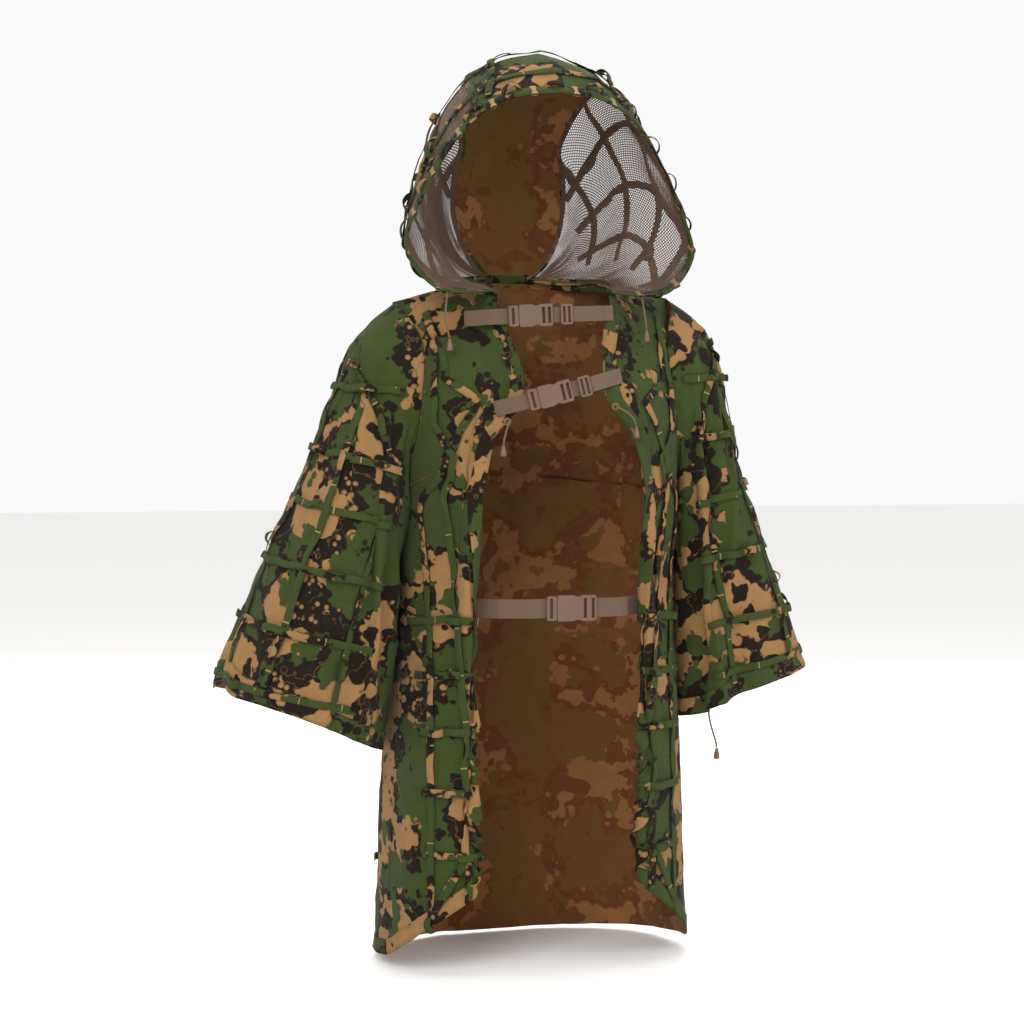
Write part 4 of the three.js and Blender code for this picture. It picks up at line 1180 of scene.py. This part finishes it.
def net_mesh(name, surface, low=0.0, high=1.0, lift=0.0):
    """The knitted side of the hood between two shares of its depth."""
    reach = surface.a[-1].max() * (high - low)
    rise = surface.b[:, -1].max()
    flat, faces = net_faces(reach + MESH_PITCH, rise + MESH_PITCH)
    u = mix(low, high, flat[:, 0] / reach)
    v = flat[:, 1] / rise
    inside = (u <= high + 0.004) & (v <= 1.002)
    faces = faces[inside[faces].all(1)]
    points, normals = surface.at(np.clip(u, low, high), np.clip(v, 0, 1))
    used, index = np.unique(faces, return_inverse=True)
    piece = make_mesh(name, (points + normals * lift)[used], index.reshape(faces.shape), [NETTING])
    solid = piece.modifiers.new("thickness", "SOLIDIFY")
    solid.thickness = 0.0005
    solid.offset = 0
    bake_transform(piece)
    return piece


hood_nets, hood_extra = {}, []
for arm, surface in hood_sides.items():
    net = net_mesh(f"hood_side_{arm}", surface)
    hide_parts(f"hood_mesh_{arm}")
    hood_nets[arm] = net
    hood_extra.append(net_mesh(f"hood_facing_{arm}", surface, 0.0, 0.12, -0.0014))

# binding round the face opening, its tacks, and the seams of the hood
rim_across = np.concatenate([np.linspace(0, 1, 120), np.linspace(1, 0, 120)[1:]])
rim_side = np.concatenate([np.full(120, -1.0), np.full(119, 1.0)])


def rim_line(q):
    return hood_point(rim_side, rim_across, np.full(len(rim_across), q)) * MM


def rim_binding():
    edge = rim_line(0.0)
    back = rim_line(0.045)
    forward = unit(edge - back)
    along_rim = unit(np.gradient(edge, axis=0))
    outward = unit(np.cross(along_rim, forward))
    if (outward * (edge - np.array([0, 0, 0.1]))).sum() < 0:
        outward = -outward
    run = np.concatenate([[0], np.cumsum(np.linalg.norm(np.diff(edge, axis=0), axis=1))])
    profile = [
        (-0.011, 0.0013), (-0.004, 0.0016), (0.0, 0.0013), (0.0012, 0.0), (0.0, -0.0013), (-0.004, -0.0016),
        (-0.011, -0.0013),
    ]
    grid = np.stack([edge + forward * f + outward * o for f, o in profile], 1)
    width = np.array([0, 0.007, 0.011, 0.0125, 0.014, 0.018, 0.025])
    strips = Strips()
    strips.add(grid, np.stack(np.broadcast_arrays(run[:, None], width[None]), -1))
    tacks, seam = Strips(), Strips()
    for s in np.arange(0.02, run[-1], 0.058):
        i = int(np.searchsorted(run, s))
        for face in (1, -1):
            tack(tacks, edge[i] - forward[i] * 0.005, outward[i] * face, forward[i], 0.016, 0.009, 0.0014)
    stitches(seam, edge - forward * 0.009, outward, 0.0014)
    stitches(seam, edge - forward * 0.009, -outward, 0.0014)
    loops = Strips()
    for s in np.arange(0.05, run[-1] - 0.03, 0.058):
        i = int(np.searchsorted(run, s))
        if s % 0.116 > 0.03:
            add_loop(loops, edge[i] - forward[i] * 0.012, outward[i], along_rim[i], forward[i], 0.001)
    return strips, tacks, seam, loops


binding, rim_tacks, rim_seam, rim_loops = rim_binding()
finish_strips(binding, "hood_binding", RIBBON, 0.0008, "hood", ["hood_rim"])
hood_extra += [
    finish_strips(rim_tacks, "hood_binding_tacks", THREAD, 0, "hood"),
    finish_strips(rim_seam, "hood_binding_stitches", THREAD, 0, "hood"),
    finish_strips(rim_loops, "hood_loops", RIBBON, 0.0006, "hood"),
]

seam_tape, seam_thread = Strips(), Strips()
for arm, surface in hood_sides.items():
    q = np.linspace(0.02, 0.995, 150)
    points, normals = surface.at(q, np.full(150, 0.997))
    strip_along(seam_tape, points, normals, 0.012, 0.0016, curl=0.0002)
    for v in (0.985, 1.0):
        points, normals = surface.at(q, np.full(150, v))
        stitches(seam_thread, points, normals, 0.0024)
    points, normals = surface.at(np.linspace(0.03, 1, 150), np.full(150, 0.012))
    strip_along(seam_tape, points, normals, 0.012, 0.0016, curl=0.0002)


def neck_seam(strips, seam):
    """The bound seam that joins the hood to the body round the neck."""
    share = np.concatenate([np.linspace(0.03, 1, 60), np.linspace(1, 0.03, 60)[1:]])
    side = np.concatenate([np.full(60, -1.0), np.full(59, 1.0)])
    line = through(NECKLINE, share) * MM * np.stack([side, side * 0 + 1, side * 0 + 1], -1)
    outward = unit(line * np.array([1, 1, 0]))
    up = np.array([0, 0, 1.0])
    profile = [(-0.008, 0.0016), (-0.001, 0.0022), (0.004, 0.002), (0.0085, 0.0012)]
    grid = np.stack([line + up * h + outward * o for h, o in profile], 1)
    run = np.concatenate([[0], np.cumsum(np.linalg.norm(np.diff(line, axis=0), axis=1))])
    width = np.array([0, 0.007, 0.012, 0.0165])
    strips.add(grid, np.stack(np.broadcast_arrays(run[:, None], width[None]), -1))
    for height in (-0.006, 0.006):
        stitches(seam, line + up * height, outward, 0.0022)


collar, collar_thread = Strips(), Strips()
neck_seam(collar, collar_thread)
hood_extra += [
    finish_strips(collar, "neck_seam", SHELL, 0.0008, "garment"),
    finish_strips(collar_thread, "neck_seam_stitches", GREEN_THREAD, 0, "garment"),
]
hood_extra += [
    finish_strips(seam_tape, "hood_seam_tape", SHELL, 0.0007, "hood"),
    finish_strips(seam_thread, "hood_seam_stitches", GREEN_THREAD, 0, "hood"),
]


class HoodWhole:
    """The whole hood by share across (0 right edge, 0.5 crest, 1 left edge) and share of its depth."""

    def at(self, across, q):
        across, q = np.asarray(across, float), np.asarray(q, float)
        p = 1 - np.abs(2 * across - 1)
        edge = crown_edge(q)
        side_v = np.clip(p / np.maximum(edge, 1e-6), 0, 1)
        right, left = hood_sides["right"].at(q, side_v), hood_sides["left"].at(q, side_v)
        top_share = np.clip((2 * across - 1) / np.maximum(1 - edge, 1e-6), -1, 1)
        top = crown.at(q, top_share)
        on_crown = (p > edge)[..., None]
        is_left = (across > 0.5)[..., None]
        return tuple(np.where(on_crown, top[k], np.where(is_left, left[k], right[k])) for k in (0, 1))


HOOD_ROUTES = [
    [(0.06, q + 0.02), (0.17, q), (0.3, q + 0.04), (0.5, q), (0.7, q + 0.04), (0.83, q), (0.94, q + 0.02)]
    for q in (0.1, 0.26, 0.43, 0.61)
]
HOOD_ROUTES += [
    [(a, 0.05), (a + (0.03 if a < 0.5 else -0.03), 0.3), (a, 0.7)]
    for a in (0.09, 0.18, 0.28, 0.4, 0.6, 0.72, 0.82, 0.91)
]
hood_extra += ribbon_net(HoodWhole(), HOOD_ROUTES, "hood_net", DARK_RIBBON, "hood", "hood_ribbons", 2)

# ---------------------------------------------------------------- webbing, fittings and cords


def restyle(node, material, bevel=0.0004):
    """A cloth copy of a webbing strap, with rounded selvedges."""
    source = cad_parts[node]
    copy = bpy.data.objects.new(f"{node}_strap", source.data.copy())
    bpy.context.collection.objects.link(copy)
    copy.data.materials.clear()
    copy.data.materials.append(material)
    edge = copy.modifiers.new("selvedge", "BEVEL")
    edge.width = bevel
    edge.segments = 2
    edge.limit_method = "ANGLE"
    edge.angle_limit = math.radians(50)
    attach(copy, "garment")
    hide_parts(node)
    return copy


straps = [
    restyle(node, WEBBING)
    for node in (
        "neck_webbing_right", "neck_webbing_left", "chest_webbing_right", "chest_webbing_left",
        "waist_belt_right", "waist_belt_left",
    )
]

# each of these straps is given a mesh of its own
for node, joint, axis, fixed, end in (
    ("neck_webbing_right", "neck_plug_slide", (-0.99875, 0, -0.049979), (-0.121, -0.10, -0.048), -0.0600),
    ("chest_webbing_right", "chest_plug_slide", (-0.968912, 0, -0.247404), (-0.096, -0.15, -0.168), -0.0449),
    ("waist_belt_right", "waist_plug_slide", (-1, 0, 0), (-0.198, -0.10, -0.424), -0.0145),
):
    strap = next(piece for piece in straps if piece.name == f"{node}_strap")
    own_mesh(strap)

CORDS = {
    "hood_cord_right": [
        (-148, -96.8, -12.5), (-149, -99, -22), (-151, -102, -34),
        (-152, -104, -47), (-150, -106, -60), (-147, -107, -72),
    ],
    "hood_cord_left": [
        (121.5, -98.5, -14.2), (122, -101, -22), (123, -104, -33),
        (124, -106, -45), (125, -107, -57),
    ],
    "chest_cord_right": [
        (-80, -144, -180), (-80.4, -147.5, -181.4), (-82, -150, -187),
        (-85, -151, -196), (-88, -151, -209),
    ],
    "chest_cord_left": [
        (68, -144.6, -160), (69, -148, -161), (75, -151, -164),
        (83, -152, -169), (90, -152, -176), (94, -152, -185),
    ],
    "sleeve_cord_left": [
        (238.5, -51.8, -571.8), (238.5, -52, -580), (240, -54, -592),
        (243, -55, -604), (247, -55, -616), (249, -55, -626),
    ],
}
CORD_DIAMETER = 0.0026
for name, corners in CORDS.items():
    line = np.array(corners) * MM
    line = finer(line, 6)
    length = float(np.linalg.norm(np.diff(line, axis=0), axis=1).sum())
    data = bpy.data.curves.new(f"{name}_line", "CURVE")
    data.dimensions = "3D"
    spline = data.splines.new("POLY")
    spline.points.add(len(line) - 1)
    for point, co in zip(spline.points, line):
        point.co = (*co, 1)
    data.bevel_depth = CORD_DIAMETER / 2
    data.bevel_resolution = 4
    data.use_fill_caps = True
    data.materials.append(CORD)
    cord = bpy.data.objects.new(f"{name}_line", data)
    bpy.context.collection.objects.link(cord)
    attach(cord, "garment")
    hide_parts(name)

for name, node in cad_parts.items():
    if node.hide_render:
        continue
    node.data.materials.clear()
    node.data.materials.append(PLASTIC)
    edge = node.modifiers.new("edge", "BEVEL")
    edge.width = 0.0003
    edge.segments = 2
    edge.limit_method = "ANGLE"
    edge.angle_limit = math.radians(40)

# ---------------------------------------------------------------- cut sizes
for name, panel in panels.items():
    surface = surfaces[name]
    width = float(surface.around.max() if surface.closed else surface.a.max())
    length = float(surface.a.max() if surface.closed else surface.b.max())
    area = surface.area()
    print("sheet", name, round(width, 3), round(length, 3), round(area, 4))
# The nets' strands have less, so for them this isn't a measured area: it states more than the strands
# have, and less than the panel's outline.
LEAST_SHARE = 0.305
for name, piece, surface, extra in (
    ("hood_crown", hood_crown, crown, hood_extra),
    ("hood_right", hood_nets["right"], hood_sides["right"], []),
    ("hood_left", hood_nets["left"], hood_sides["left"], []),
):
    width, length = float(surface.a.max()), float(surface.b.max())
    area = surface.area() if name == "hood_crown" else sum(face.area for face in piece.data.polygons)
    area = min(max(area, LEAST_SHARE * width * length), width * length)
    print("sheet", name, round(width, 3), round(length, 3), round(area, 4))

# ---------------------------------------------------------------- floor and light


def lay_floor():
    bpy.ops.mesh.primitive_plane_add(size=40, location=(0, 0, -0.905))
    floor = bpy.context.object
    floor.name = "floor"
    floor.data.materials.append(plain("floor", "#f4f3f1", 0.7, 3.0, 0.0, 0.98))


def light(name, place, energy, size, aim=(0, 0, -0.3)):
    data = bpy.data.lights.new(name, "AREA")
    data.energy = energy
    data.size = size
    lamp = bpy.data.objects.new(name, data)
    lamp.location = place
    lamp.rotation_euler = (Vector(aim) - Vector(place)).to_track_quat("-Z", "Y").to_euler()
    bpy.context.collection.objects.link(lamp)


lay_floor()
light("key", (-2.2, -3.2, 1.8), 120, 2.2)
light("fill", (2.8, -2.6, 0.6), 60, 2.6)
light("top", (0.2, 0.4, 2.6), 70, 2.4)
light("rim", (1.2, 3.0, 1.4), 60, 2.0)
world = bpy.data.worlds.new("studio")
world.use_nodes = True
world.node_tree.nodes["Background"].inputs["Color"].default_value = (1, 1, 1, 1)
world.node_tree.nodes["Background"].inputs["Strength"].default_value = 0.95
bpy.context.scene.world = world
bpy.context.scene.view_settings.view_transform = "Standard"
